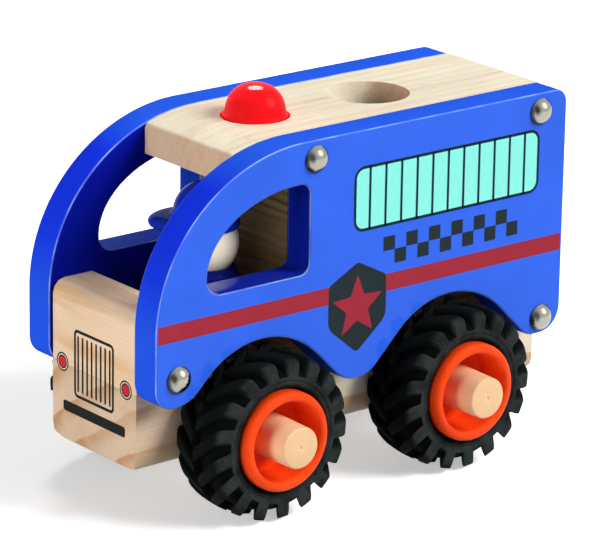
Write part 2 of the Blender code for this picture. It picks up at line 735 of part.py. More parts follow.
def build_nails(panels, core, nickel):
    """Four nails a side, each in a hole through its panel and on into the core behind it."""
    mesh = nail_mesh(nickel)
    roof_nail = PANEL_HEIGHT - NAIL_BELOW_ROOF_TOP
    bonnet_middle = PANEL_LENGTH - CORE_INSET - BONNET_DEPTH / 2
    spots = {
        "roof_front": (CAB_WALL_FACE - NAIL_BEHIND_CAB_WALL, roof_nail, "roof_board"),
        "roof_rear": (NAIL_ROOF_REAR_FROM_REAR, roof_nail, "roof_board"),
        "bonnet": (bonnet_middle, CHASSIS_THICKNESS + NAIL_BONNET_ABOVE_CHASSIS, "bonnet_block"),
        "chassis": (NAIL_CHASSIS_FROM_REAR, NAIL_CHASSIS_HEIGHT, "chassis_board"),
    }
    hole_radius = NAIL_SHANK_RADIUS + GLUE_GAP
    for side, sign in SIDES.items():
        for spot, (from_rear, height, holder) in spots.items():
            x, z = fore(from_rear), up(height)
            turn = 0.0 if sign > 0 else math.pi
            place(f"nail_{side}_{spot}", mesh, (x, sign * PANEL_FACE, z), turn)
            mouth = (x, sign * (PANEL_FACE + NAIL_HEAD_RADIUS), z)
            blind = (x, sign * (PANEL_FACE - NAIL_LENGTH - GLUE_GAP), z)
            cutter = rod_cutter(f"cut_nail_{side}_{spot}", mouth, blind, hole_radius, NAIL_SIDES)
            cut(panels[side], cutter)
            cut(core[holder], cutter)


def build_beacon(roof, red):
    x = fore(CAB_WALL_FACE - BEACON_BEHIND_CAB_WALL)
    seat = up(PANEL_HEIGHT - BEACON_SINK)
    place("beacon", beacon_mesh(red), (x, 0.0, seat))
    recess = (x, 0.0, seat - GLUE_GAP), (x, 0.0, up(PANEL_HEIGHT + ROOF_THICKNESS))
    radius = BEACON_FLANGE_RADIUS + GLUE_GAP
    cut(roof, rod_cutter("cut_beacon_seat", *recess, radius, LARGE_HOLE_SIDES))
    socket = (x, 0.0, seat - BEACON_TENON_LENGTH - GLUE_GAP), (x, 0.0, seat)
    cut(roof, rod_cutter("cut_beacon_tenon", *socket, BEACON_TENON_RADIUS + GLUE_GAP, NAIL_SIDES))


def build_wheels(chassis, rubber, orange, peg_wood):
    """A tyre on a hub at each corner, spinning on a peg that is glued into the chassis."""
    tyre, hub, peg = tyre_mesh(rubber), hub_mesh(orange), peg_mesh(peg_wood)
    side_face = CORE_WIDTH / 2
    for side, sign in SIDES.items():
        turn = 0.0 if sign > 0 else math.pi
        for axle, from_rear in AXLES.items():
            x, z = fore(from_rear), up(AXLE_HEIGHT)
            corner = f"{axle}_{side}"
            wheel = pivot(f"wheel_{corner}_pivot", (x, sign * (side_face + SIDE_PLAY), z), turn)
            place(f"tyre_{corner}", tyre, parent=wheel)
            place(f"hub_{corner}", hub, parent=wheel)
            place(f"axle_peg_{corner}", peg, (x, sign * side_face, z), turn)
            ends = (x, sign * (side_face + PEG_HOLE_DEPTH), z), (x, sign * (side_face - PEG_HOLE_DEPTH), z)
            cut(chassis, rod_cutter(f"cut_peg_{corner}", *ends, PEG_SHANK_RADIUS + GLUE_GAP, WHEEL_SIDES))


def build_driver(chassis, uniform, skin, cap_blue):
    """The driver stands in a shallow socket in the cab floor and turns about its own axis."""
    x = fore(CAB_WALL_FACE + DRIVER_FROM_WALL)
    head_centre = HEAD_CENTRE_HEIGHT - DRIVER_BASE_HEIGHT
    cap_base = CAP_BASE_HEIGHT - DRIVER_BASE_HEIGHT
    axis = pivot("driver_pivot", (x, 0.0, up(DRIVER_BASE_HEIGHT)), DRIVER_TURN)
    place("driver_body", driver_body_mesh(uniform, head_centre), parent=axis)
    place("driver_head", driver_head_mesh(skin), (0.0, 0.0, head_centre), parent=axis)
    place("driver_cap", driver_cap_mesh(cap_blue), (0.0, 0.0, cap_base), parent=axis)
    ends = (x, 0.0, up(DRIVER_BASE_HEIGHT - GLUE_GAP)), (x, 0.0, up(2.0 * CHASSIS_THICKNESS))
    radius = DRIVER_BODY_RADIUS + RUNNING_CLEARANCE
    cut(chassis, rod_cutter("cut_driver_socket", *ends, radius, LARGE_HOLE_SIDES))


def build_bus():
    remove_all()
    boards = ("chassis_board", "bonnet_block", "cab_back_wall", "rear_wall", "roof_board")
    pine = {name: finish_material(f"pine_{name}", (0.72, 0.52, 0.31), 0.55) for name in boards}
    blue = finish_material("blue_gloss_paint", (0.024, 0.072, 0.68), 0.22)
    core = build_core(pine)
    panels = build_panels(blue)
    build_nails(panels, core, finish_material("nickel", (0.78, 0.76, 0.72), 0.12, 1.0))
    build_beacon(core["roof_board"], finish_material("red_gloss_paint", (0.70, 0.006, 0.014), 0.15))
    rubber = finish_material("black_rubber", (0.012, 0.012, 0.013), 0.62)
    orange = finish_material("orange_plastic", (0.86, 0.093, 0.008), 0.30)
    peg_wood = finish_material("peg_wood", (0.74, 0.50, 0.28), 0.50)
    build_wheels(core["chassis_board"], rubber, orange, peg_wood)
    uniform = finish_material("driver_blue_paint", (0.012, 0.035, 0.30), 0.30)
    skin = finish_material("driver_skin_paint", (0.80, 0.62, 0.48), 0.40)
    cap_blue = finish_material("cap_blue_paint", (0.010, 0.022, 0.20), 0.28)
    build_driver(core["chassis_board"], uniform, skin, cap_blue)


build_bus()
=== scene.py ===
# %% [markdown]
# # A wooden toy police bus
# The bus is glued and nailed from a few boards: two thick painted side panels, and between them a pine
# core of chassis, bonnet, cab wall and roof. Rubber tractor tyres on orange plastic hubs turn on fat wooden
# pegs. The CAD model is loaded first as a fixed frame, so every finer surface below has a place to go.

# %% Load the frame
import math

import bmesh
import bpy
import numpy as np
from mathutils import Matrix, Vector


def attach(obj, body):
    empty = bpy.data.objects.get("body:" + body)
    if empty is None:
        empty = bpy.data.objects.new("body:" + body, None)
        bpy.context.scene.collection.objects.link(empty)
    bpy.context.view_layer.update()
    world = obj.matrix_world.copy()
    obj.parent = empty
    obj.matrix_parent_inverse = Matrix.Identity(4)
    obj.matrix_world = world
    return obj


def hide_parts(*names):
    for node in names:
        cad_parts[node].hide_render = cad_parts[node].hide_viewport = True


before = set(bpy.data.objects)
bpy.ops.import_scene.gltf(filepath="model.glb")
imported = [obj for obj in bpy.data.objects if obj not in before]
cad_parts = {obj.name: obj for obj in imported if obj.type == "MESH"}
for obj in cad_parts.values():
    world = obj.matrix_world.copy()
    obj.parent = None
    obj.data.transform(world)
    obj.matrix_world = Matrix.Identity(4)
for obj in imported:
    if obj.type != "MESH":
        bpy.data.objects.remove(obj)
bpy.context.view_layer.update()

MM = 0.001

# %% [markdown]
# ## Sizes
# All lengths are millimetres, as on a workshop drawing. x starts at the panels' rear edge, because that is
# where a maker would hook a tape, and z starts on the floor. One function turns such a point into the
# frame's metres, whose origin is under the middle of the bus.

# %% Sizes of the bus
PANEL_LENGTH, PANEL_TOP = 177.0, 126.0
CORE_HALF, GLUE, BOARD = 23.5, 0.3, 12.0
PANEL_IN = CORE_HALF + GLUE
PANEL_OUT = PANEL_IN + BOARD
ROUND_OVER = 0.7
AXLE_Z, FRONT_AXLE, REAR_AXLE = 29.0, 133.0, 51.3
FRONT_FACE, BONNET_BACK, CHASSIS_TOP = 175.8, 159.5, 46.5
BEACON_X, BEACON_BASE = 109.0, 124.0
DRIVER_X, DRIVER_FOOT = 129.4, 43.8
SIDES = {"left": 1.0, "right": -1.0}


def in_frame(points):
    """Millimetres from the rear edge, the middle plane and the floor, as metres in the frame."""
    return (np.asarray(points, float) - (PANEL_LENGTH / 2, 0.0, 0.0)) * MM


print("axles at", in_frame([(FRONT_AXLE, 0, AXLE_Z), (REAR_AXLE, 0, AXLE_Z)]).round(4).tolist())

# %% [markdown]
# ## Surfaces from arrays
# A surface is a grid of points: rows follow one parameter and columns the other, like the wires of a
# basket. The faces are the same for any grid, so they come from one array of point numbers, which joins
# each point to its right and upper neighbours. A grid can close on itself either way, as a tyre does.


# %% Grids and pieces
def grid(points, close_rows=False, close_columns=False):
    """Points (rows, columns, 3) and the quads between neighbours, wrapped round where asked."""
    rows, columns = points.shape[:2]
    number = np.arange(rows * columns).reshape(rows, columns)
    if close_rows:
        number = np.vstack([number, number[:1]])
    if close_columns:
        number = np.hstack([number, number[:, :1]])
    corners = [number[:-1, :-1], number[1:, :-1], number[1:, 1:], number[:-1, 1:]]
    return points.reshape(-1, 3), np.stack(corners, -1).reshape(-1, 4)


def together(surfaces):
    """Several surfaces as one: their points in a row, and each one's quads counted on from the last."""
    starts = np.cumsum([0] + [len(points) for points, _ in surfaces[:-1]])
    points = np.vstack([points for points, _ in surfaces])
    return points, np.vstack([quads + start for (_, quads), start in zip(surfaces, starts)])


def settle(bm, mesh, smooth_to):
    """Turns the faces outwards, fills the mesh, and smooths it save at edges over an angle in degrees."""
    bmesh.ops.recalc_face_normals(bm, faces=bm.faces[:])
    bm.to_mesh(mesh)
    bm.free()
    mesh.shade_smooth()
    mesh.set_sharp_from_angle(angle=math.radians(smooth_to))
    return mesh


def mesh_of(name, surface, smooth_to=40.0, **masks):
    """A mesh from points in millimetres and quads, with poles and seams merged and faces turned outwards.

    Each mask is one number for each point, kept on the mesh as an attribute that a material can read.
    """
    points, quads = surface
    mesh = bpy.data.meshes.new(name)
    mesh.vertices.add(len(points))
    mesh.vertices.foreach_set("co", in_frame(points).astype(np.float32).ravel())
    mesh.loops.add(quads.size)
    mesh.loops.foreach_set("vertex_index", quads.astype(np.int32).ravel())
    mesh.polygons.add(len(quads))
    mesh.polygons.foreach_set("loop_start", np.arange(0, quads.size, 4, dtype=np.int32))
    mesh.update(calc_edges=True)
    for mask, values in masks.items():
        kept = mesh.attributes.new(mask, "FLOAT", "POINT")
        kept.data.foreach_set("value", values.astype(np.float32).ravel())
    bm = bmesh.new()
    bm.from_mesh(mesh)
    bmesh.ops.remove_doubles(bm, verts=bm.verts[:], dist=1e-7)
    bmesh.ops.dissolve_degenerate(bm, edges=bm.edges[:], dist=1e-8)
    return settle(bm, mesh, smooth_to)


def add_piece(mesh, material, body, slot, *nodes):
    """The mesh as a piece of the bus, riding on a body and standing for the nodes that it replaces."""
    piece = bpy.data.objects.new(mesh.name, mesh)
    bpy.context.scene.collection.objects.link(piece)
    mesh.materials.clear()
    mesh.materials.append(material)
    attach(piece, body)
    if nodes:
        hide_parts(*nodes)
    return piece


print("nodes to dress:", len(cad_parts))

# %% [markdown]
# ## Outlines and turned profiles
# A sawn outline is straight runs joined by arcs. Each corner becomes an arc that touches both of its
# sides, worked out for all the corners at once. A turned piece is a profile carried round an axis, and its
# corners are eased with short curves, since no lathe tool leaves a perfect edge.


# %% Outlines and profiles
def unit(vectors):
    return vectors / np.maximum(np.linalg.norm(vectors, axis=-1, keepdims=True), 1e-12)


def without_doubles(outline):
    step = np.linalg.norm(outline - np.roll(outline, 1, 0), axis=1)
    return outline[step > 1e-5]


def rounded(corners, radii, steps=14):
    """A closed outline whose corners are arcs: centre on the bisector at radius / sin(half angle)."""
    corners = np.asarray(corners, float)
    radius = np.asarray(radii, float)[:, None]
    back = unit(np.roll(corners, 1, 0) - corners)
    ahead = unit(np.roll(corners, -1, 0) - corners)
    half = 0.5 * np.arccos(np.clip((back * ahead).sum(1), -0.999999, 0.999999))[:, None]
    centre = corners + unit(back + ahead) * radius / np.sin(half)
    start = corners + back * radius / np.tan(half) - centre
    end = corners + ahead * radius / np.tan(half) - centre
    sweep = math.pi - 2.0 * half
    t = np.linspace(0.0, 1.0, steps)
    first = (np.sin((1.0 - t) * sweep) / np.sin(sweep))[..., None]
    last = (np.sin(t * sweep) / np.sin(sweep))[..., None]
    arcs = centre[:, None] + start[:, None] * first + end[:, None] * last
    return without_doubles(arcs.reshape(-1, 2))


def box_outline(low, high, radius, steps=8):
    corners = [(low[0], low[1]), (high[0], low[1]), (high[0], high[1]), (low[0], high[1])]
    return rounded(corners, [radius] * 4, steps)


def inset(outline, distance):
    """The outline moved inwards along its corner bisectors; the sign of its area says which way is in."""
    back = unit(outline - np.roll(outline, 1, 0))
    ahead = unit(np.roll(outline, -1, 0) - outline)
    side = unit(np.stack([-(back + ahead)[:, 1], (back + ahead)[:, 0]], 1))
    lean = (side * np.stack([-ahead[:, 1], ahead[:, 0]], 1)).sum(1, keepdims=True)
    after = np.roll(outline, -1, 0)
    area = (outline[:, 0] * after[:, 1] - after[:, 0] * outline[:, 1]).sum()
    return outline + np.sign(area) * side * distance / lean


def eased(profile, cut, steps=5):
    """An open profile whose inner corners are quadratic curves that start and end a cut away from them."""
    profile = np.asarray(profile, float)
    middle = profile[1:-1]
    to_back, to_ahead = profile[:-2] - middle, profile[2:] - middle
    room = np.minimum(np.linalg.norm(to_back, axis=1), np.linalg.norm(to_ahead, axis=1))
    length = np.minimum(cut, 0.45 * room)[:, None]
    start, end = middle + unit(to_back) * length, middle + unit(to_ahead) * length
    t = np.linspace(0.0, 1.0, steps)[None, :, None]
    curves = (1 - t) ** 2 * start[:, None] + 2 * t * (1 - t) * middle[:, None] + t**2 * end[:, None]
    return np.vstack([profile[:1], curves.reshape(-1, 2), profile[-1:]])


def turned(profile, foot, axis, segments=96, closed=False):
    """A profile (radius, distance along the axis) carried round an axis through foot, as a grid."""
    radius, along = np.asarray(profile, float).T
    angle = np.linspace(0.0, 2.0 * math.pi, segments, endpoint=False)
    axis = unit(np.asarray(axis, float))
    across = unit(np.cross(axis, (0.31, 0.17, 0.94)))
    third = np.cross(axis, across)
    ring = np.cos(angle)[:, None] * across + np.sin(angle)[:, None] * third
    points = np.asarray(foot, float) + along[:, None, None] * axis + radius[:, None, None] * ring[None]
    return grid(points, close_rows=closed, close_columns=True)


print("a rounded square has", len(box_outline((0, 0), (10, 10), 2)), "points")

# %% [markdown]
# ## Shader helpers
# Every finish below is made of nodes that read the piece's own Object coordinates, so a grain or a speckle
# stays put when a wheel turns. Writing each node out takes many lines, so short helpers add a node, set or
# link its inputs, and give back the output that the next node needs.


# %% Shader helpers
def add_node(tree, kind, inputs=(), **settings):
    """Adds a node, sets its settings, and fills its inputs by place or name, with a link or a value."""
    made = tree.nodes.new("ShaderNode" + kind)
    for key, value in settings.items():
        setattr(made, key, value)
    pairs = inputs.items() if isinstance(inputs, dict) else enumerate(inputs)
    for key, value in pairs:
        if isinstance(value, bpy.types.NodeSocket):
            tree.links.new(value, made.inputs[key])
        else:
            made.inputs[key].default_value = value
    return made


def node(tree, kind, output=0, inputs=(), **settings):
    return add_node(tree, kind, inputs, **settings).outputs[output]


def calc(tree, operation, a, b=0.0):
    return node(tree, "Math", inputs=(a, b), operation=operation)


def times(tree, a, b):
    return calc(tree, "MULTIPLY", a, b)


def plus(tree, a, b):
    return calc(tree, "ADD", a, b)


def less(tree, a, b):
    return calc(tree, "SUBTRACT", a, b)


def noise(tree, vector, scale, detail=2.0):
    """Noise at a point, with one scale for all axes or one for each."""
    scale = tuple(np.broadcast_to(scale, 3).tolist())
    stretched = node(tree, "VectorMath", inputs=(vector, scale), operation="MULTIPLY")
    return node(tree, "TexNoise", inputs={"Vector": stretched, "Scale": 1.0, "Detail": detail})


def ramp(tree, value, low, high, to_low=0.0, to_high=1.0):
    """A smooth step of the value between two levels."""
    inputs = (value, low, high, to_low, to_high)
    return node(tree, "MapRange", inputs=inputs, interpolation_type="SMOOTHSTEP")


def mix(tree, share, a, b, blend="MIX"):
    inputs = {0: share, 6: a, 7: b}
    return node(tree, "Mix", output=2, inputs=inputs, data_type="RGBA", blend_type=blend)


def shaded(tree, colour, tone):
    """The colour multiplied by a grey tone."""
    grey = node(tree, "CombineColor", inputs=(tone, tone, tone))
    return mix(tree, 1.0, colour, grey, "MULTIPLY")


def object_point(tree):
    return node(tree, "TexCoord", output="Object")


def attribute(tree, name):
    return node(tree, "Attribute", output="Fac", attribute_name=name)


print("node helpers ready")


# %% Groups and materials
def group(name, inputs):
    """An empty shader node group with named inputs; returns its tree and those inputs."""
    tree = bpy.data.node_groups.new(name, "ShaderNodeTree")
    for socket, kind, value in inputs:
        made = tree.interface.new_socket(socket, in_out="INPUT", socket_type="NodeSocket" + kind)
        if kind != "Vector":
            made.default_value = value
    return tree, tree.nodes.new("NodeGroupInput").outputs


def give_out(tree, colour, roughness, height):
    """Ends a group with the three outputs that a finish needs."""
    given = (("Color", "Color", colour), ("Roughness", "Float", roughness), ("Height", "Float", height))
    for socket, kind, _ in given:
        tree.interface.new_socket(socket, in_out="OUTPUT", socket_type="NodeSocket" + kind)
    sink = tree.nodes.new("NodeGroupOutput")
    for socket, _, value in given:
        tree.links.new(value, sink.inputs[socket])
    return tree


def use_group(tree, made_group, inputs):
    return add_node(tree, "Group", inputs, node_tree=made_group).outputs


def finish(name, **constants):
    """A new material with the constants set on its Principled shader; returns it, its tree and its shader."""
    material = bpy.data.materials.new(name)
    material.use_nodes = True
    shader = material.node_tree.nodes["Principled BSDF"]
    for key, value in constants.items():
        shader.inputs[key.replace("_", " ")].default_value = value
    return material, material.node_tree, shader


def dress(tree, shader, colour, roughness, height, strength, distance):
    """Feeds the shader's colour and roughness, and its normal through a bump of the given height."""
    bumped = node(tree, "Bump", inputs={"Strength": strength, "Distance": distance, "Height": height})
    for value, socket in ((colour, "Base Color"), (roughness, "Roughness"), (bumped, "Normal")):
        tree.links.new(value, shader.inputs[socket])


print("group and material helpers ready")

# %% [markdown]
# ## Pine
# Sawn pine shows its growth rings: pale early wood, a darker late line, then a sudden step back to pale.
# The rings are cylinders round a pith that lies outside the board, wobbling along the grain, so the same
# solid pattern gives long lines on a face and arcs on an end. Fine fibres, warm streaks and short resin
# flecks lie over it, and end grain soaks up more light and looks browner.


# %% Pine grain group
def build_pine():
    """Rings: fract(distance from the pith / ring width), with the distance shaken by a stretched noise."""
    tree, source = group("pine_grain", [
        ("Vector", "Vector", None), ("Ring Width", "Float", 0.0012), ("Contrast", "Float", 0.5),
        ("Warmth", "Float", 0.3), ("Fleck", "Float", 0.35), ("End", "Float", 0.0),
        ("Fibre", "Float", 0.10), ("Patch", "Float", 0.7),
        ("Pale", "Color", (0.91, 0.82, 0.63, 1)), ("Late", "Color", (0.66, 0.43, 0.22, 1)),
    ])
    point = source["Vector"]
    _, y, z = add_node(tree, "SeparateXYZ", (point,)).outputs
    from_pith = calc(tree, "SQRT", plus(tree, times(tree, y, y), times(tree, z, z)))
    wobble = noise(tree, point, (9.0, 55.0, 55.0))
    shaken = plus(tree, from_pith, times(tree, wobble, 0.0065))
    phase = calc(tree, "FRACT", calc(tree, "DIVIDE", shaken, source["Ring Width"]))
    late = times(tree, ramp(tree, phase, 0.35, 0.9), ramp(tree, phase, 1.0, 0.93))
    fibre = noise(tree, point, (45.0, 1500.0, 1500.0), 3.0)
    streak = ramp(tree, noise(tree, point, (14.0, 130.0, 130.0)), 0.48, 0.72)
    fleck = ramp(tree, noise(tree, point, (70.0, 1100.0, 1100.0), 1.0), 0.70, 0.76)
    cloud = noise(tree, point, (20.0, 60.0, 60.0), 3.0)
    fade = ramp(tree, noise(tree, point, (7.0, 85.0, 85.0)), 0.40, 0.62)
    shown = less(tree, 1.0, times(tree, source["Patch"], less(tree, 1.0, fade)))
    strength = times(tree, times(tree, late, shown), source["Contrast"])
    colour = mix(tree, strength, source["Pale"], source["Late"])
    colour = mix(tree, times(tree, streak, source["Warmth"]), colour, (0.78, 0.47, 0.25, 1))
    colour = mix(tree, times(tree, fleck, source["Fleck"]), colour, (0.34, 0.19, 0.09, 1))
    worn = times(tree, source["Fibre"], ramp(tree, fibre, 0.7, 0.3))
    colour = shaded(tree, colour, less(tree, ramp(tree, cloud, 0.3, 0.7, 0.96, 1.04), worn))
    browned = mix(tree, 1.0, colour, (0.68, 0.50, 0.42, 1), "MULTIPLY")
    colour = mix(tree, source["End"], colour, browned)
    rough = plus(tree, ramp(tree, fibre, 0.3, 0.7, 0.46, 0.60), times(tree, source["End"], 0.12))
    height = plus(tree, times(tree, fibre, 0.6), times(tree, late, 0.4))
    return give_out(tree, colour, rough, height)


PINE = build_pine()
GRAIN_TURN = {"x": (0.0, 0.0, 0.0), "y": (0.0, 0.0, -math.pi / 2), "z": (0.0, math.pi / 2, 0.0)}
GRAIN_AXIS = {"x": (1, 0, 0), "y": (0, 1, 0), "z": (0, 0, 1)}


def pine(
    name, grain, pith, ring=1.2, contrast=0.5, warmth=0.3, end=0.85,
    fleck=0.35, fibre=0.10, patch=0.7, **tones
):
    """A board's own pine: grain along an axis, and the pith (mm, in the grain's axes) outside the board."""
    material, tree, shader = finish(name, Specular_IOR_Level=0.2)
    turned_point = node(tree, "Mapping", inputs={"Vector": object_point(tree), "Rotation": GRAIN_TURN[grain]})
    placed = node(tree, "VectorMath", inputs=(turned_point, np.array(pith) * -MM), operation="ADD")
    normal = node(tree, "TexCoord", output="Normal")
    aligned = node(tree, "VectorMath", 1, (normal, GRAIN_AXIS[grain]), operation="DOT_PRODUCT")
    end_grain = ramp(tree, calc(tree, "ABSOLUTE", aligned), 0.5, 0.95)
    inputs = {"Vector": placed, "Ring Width": ring * MM, "Contrast": contrast, "Warmth": warmth}
    inputs.update({"Fleck": fleck, "Fibre": fibre, "Patch": patch, "End": times(tree, end_grain, end)})
    inputs.update({tone.title(): (*colour, 1.0) for tone, colour in tones.items()})
    dress(tree, shader, *use_group(tree, PINE, inputs), 0.35, 0.00012)
    return material


print("pine group has", len(PINE.nodes), "nodes")

# %% [markdown]
# ## Gloss paint and printing ink
# Sprayed gloss is never quite flat: it has a faint orange peel, a few dust nibs, and a breath of the
# wood's grain under it. A pale line on each routed edge is a painted highlight. On the sawn edge the paint
# sinks in and looks stronger, and how strong changes with the edge's slope, as painted shade. Inside the cab
# and in the windows a darker blue is painted shade. Only the shape knows where its edges are, so these
# masks are attributes on the mesh, and the group turns them into colour.


# %% Gloss paint group
def build_paint():
    """The sprayed tone, then the sawn edge's blue and the painted shade by their masks,
    and the painted highlight on the edge in patches.
    """
    tree, source = group("gloss_paint", [
        ("Vector", "Vector", None), ("Color", "Color", (0.5, 0.5, 0.5, 1)), ("Edge", "Float", 0.0),
        # The sawn edge's stronger blue; how much of it shows is partly painted shade.
        ("Sawn", "Float", 0.0), ("Sawn Color", "Color", (0.0090, 0.038, 0.80, 1)),
        # The dark blue below is painted shade for the inside of the cab and the window walls.
        ("Deep", "Float", 0.0), ("Deep Color", "Color", (0.003, 0.008, 0.32, 1)),
    ])
    point = source["Vector"]
    peel = noise(tree, point, 420.0)
    grain = noise(tree, point, (18.0, 700.0, 700.0))
    cloud = noise(tree, point, 38.0, 3.0)
    nib = ramp(tree, noise(tree, point, 1300.0, 0.0), 0.74, 0.80)
    # The sawn edge's stronger blue, by a mask that changes with the edge's slope as painted shade.
    colour = mix(tree, source["Sawn"], source["Color"], source["Sawn Color"])
    # Painted shade: the inside of the cab and the window walls take the dark blue.
    colour = mix(tree, source["Deep"], colour, source["Deep Color"])
    colour = shaded(tree, colour, ramp(tree, cloud, 0.25, 0.75, 0.94, 1.05))
    patchy = ramp(tree, noise(tree, point, 90.0), 0.35, 0.65, 0.35, 0.95)
    # Painted highlight: a pale blue line along the round-overs, in patches.
    colour = mix(tree, times(tree, source["Edge"], patchy), colour, (0.52, 0.72, 1.0, 1))
    rough = plus(tree, ramp(tree, cloud, 0.3, 0.7, 0.17, 0.25), times(tree, nib, 0.2))
    height = plus(tree, times(tree, peel, 0.7), times(tree, grain, 0.22))
    return give_out(tree, colour, rough, plus(tree, height, times(tree, nib, 0.35)))


PAINT = build_paint()


def gloss_paint(name, colour, masked=False, peel=0.05, **constants):
    """Paint of one colour; a mesh with masks also gets its painted edge highlight, its sawn edge's blue,
    its painted shade and its polish from them.
    """
    material, tree, shader = finish(name, **constants)
    inputs = {"Vector": object_point(tree), "Color": (*colour, 1.0)}
    if masked:
        inputs.update({mask: attribute(tree, mask.lower()) for mask in ("Edge", "Sawn", "Deep")})
        tree.links.new(attribute(tree, "gloss"), shader.inputs["Coat Weight"])
    dress(tree, shader, *use_group(tree, PAINT, inputs), peel, 0.0006)
    return material


def ink(name, colour, gloss=0.34, mottling=0.05):
    """Screen-printed ink: nearly even, with a fine mesh-like mottle in its colour and its gloss."""
    material, tree, shader = finish(name, Specular_IOR_Level=0.03)
    point = object_point(tree)
    mottle = noise(tree, point, 900.0)
    cloud = noise(tree, point, 60.0)
    fine = ramp(tree, mottle, 0.3, 0.7, 1.0 - mottling, 1.0 + mottling)
    tone = plus(tree, fine, ramp(tree, cloud, 0.3, 0.7, -0.5 * mottling, 0.5 * mottling))
    rough = ramp(tree, mottle, 0.3, 0.7, gloss - 0.05, gloss + 0.08)
    dress(tree, shader, shaded(tree, (*colour, 1.0), tone), rough, mottle, 0.06, 0.0003)
    return material


PANEL_COAT = {"Specular_IOR_Level": 0.0, "Coat_Roughness": 0.12}
BLUE = gloss_paint("panel_blue_gloss", (0.025, 0.126, 0.81), masked=True, **PANEL_COAT)
print("paint group has", len(PAINT.nodes), "nodes")

# %% [markdown]
# ## Side panels
# Each panel is 12 mm board, sawn to a wavy outline with wheel arches, feet and a quarter-ellipse nose, and
# routed round with a small round-over. It could be extruded and bevelled, but carrying the round-over's
# profile along the sawn outline keeps it exact: each level through the board is the outline moved inwards
# by what the router takes. The window has the same profile, moved the other way.


# %% Panel and window outlines
def panel_outline():
    """Arches round the axles on 45 degree flanks, three feet, and a nose that is a quarter of an ellipse."""
    arch, nose_long, nose_high = 32.2, 61.0, 57.0
    rear_foot, middle_foot, front_foot = 38.4, 39.0, 44.4
    peak = AXLE_Z + arch * math.sqrt(2.0)
    half_foot = middle_foot - (peak - (FRONT_AXLE - REAR_AXLE) / 2)
    middle = (FRONT_AXLE + REAR_AXLE) / 2
    corners = [
        (PANEL_LENGTH, front_foot, 7.5),
        (FRONT_AXLE + peak - front_foot, front_foot, 14.0),
        (FRONT_AXLE, peak, arch),
        (middle + half_foot, middle_foot, 12.0),
        (middle - half_foot, middle_foot, 12.0),
        (REAR_AXLE, peak, arch),
        (REAR_AXLE - peak + rear_foot, rear_foot, 8.0),
        (0.0, rear_foot, 9.0),
        (0.0, PANEL_TOP, 5.0),
    ]
    angle = np.linspace(math.pi / 2, 0.0, 60)
    nose_x = PANEL_LENGTH - nose_long + nose_long * np.cos(angle)
    nose_z = PANEL_TOP - nose_high + nose_high * np.sin(angle)
    every = np.vstack([corners, np.stack([nose_x, nose_z, 0.0 * angle], 1)])
    return rounded(every[:, :2], every[:, 2], steps=26)


def window_outline():
    """Upright rear jamb and level sill, with a front that is a quarter ellipse down to a small toe."""
    rear, front, sill, head = 113.6, 156.2, 80.2, 111.5
    corner, toe = 3.8, 5.8
    angle = np.linspace(0.0, math.pi / 2, 40)
    curve_x = rear + corner + (front - rear - corner) * np.cos(angle)
    curve_z = sill + toe + (head - sill - toe) * np.sin(angle)
    corners = [(rear, head, corner), (rear, sill, corner), (front, sill, toe)]
    every = np.vstack([corners, np.stack([curve_x, curve_z, 0.0 * angle], 1)])
    return rounded(every[:, :2], every[:, 2], steps=12)


print("panel outline:", len(panel_outline()), "points, window:", len(window_outline()))

# %% Panel solid
# How much of the sawn edge's stronger blue shows, by how far the edge faces up: painted shade.
SAWN_SHADE_SLOPE = [-1.0, 0.02, 0.35, 0.6, 0.82, 0.97]
SAWN_SHADE_SHARE = [0.3, 0.35, 0.9, 1.0, 1.0, 0.15]
OUTER_POLISH = 0.3


def round_over_levels(thickness, radius, steps=6):
    """Inset and depth of each level: a flat lip, radius (1 - sin t) and radius (1 - cos t), then mirrored."""
    t = np.linspace(0.0, math.pi / 2, steps)
    inset_by = np.concatenate([[radius + 0.2], radius * (1.0 - np.sin(t))])
    depth = np.concatenate([[0.0], radius * (1.0 - np.cos(t))])
    return np.concatenate([inset_by, inset_by[::-1]]), np.concatenate([depth, thickness - depth[::-1]])


def wall_masks(outline, insets, inside, shade_and_polish):
    """Masks of one wall, for each level and point.

    One mask marks the painted highlight on the round-overs; one the cut edge's stronger blue, less where it
    lies level, which changes with the edge's slope as painted shade; one the inside, darkened as painted
    shade; and one, gloss, the polish: even on the outer face, and elsewhere only on a sill, most of all in
    front, where hands rub it. Each wall's pair of numbers says how much painted shade it gets and how far its
    sill is polished.
    """
    shade, shine = shade_and_polish
    level = np.repeat((insets / ROUND_OVER)[:, None], len(outline), 1)
    on_wall = np.clip(1.0 - level, 0.0, 1.0)
    upward = unit(outline - inset(outline, 1.0))[:, 1]
    rubbed = np.interp(outline[:, 0], [137.0, 146.0], [0.25, 1.0])
    sill = shine * rubbed * np.clip((-upward - 0.5) / 0.4, 0.0, 1.0)
    return {
        "edge": np.clip(1.0 - np.abs(level - 0.26) / 0.24, 0.0, 1.0),
        "sawn": on_wall * (1.0 - shade) * np.interp(upward, SAWN_SHADE_SLOPE, SAWN_SHADE_SHARE),
        "deep": np.where(inside[:, None], 1.0 - (1.0 - shade) * on_wall, shade * on_wall),
        "gloss": on_wall * sill + np.where(inside[:, None], 0.0, OUTER_POLISH * (1.0 - on_wall)),
    }


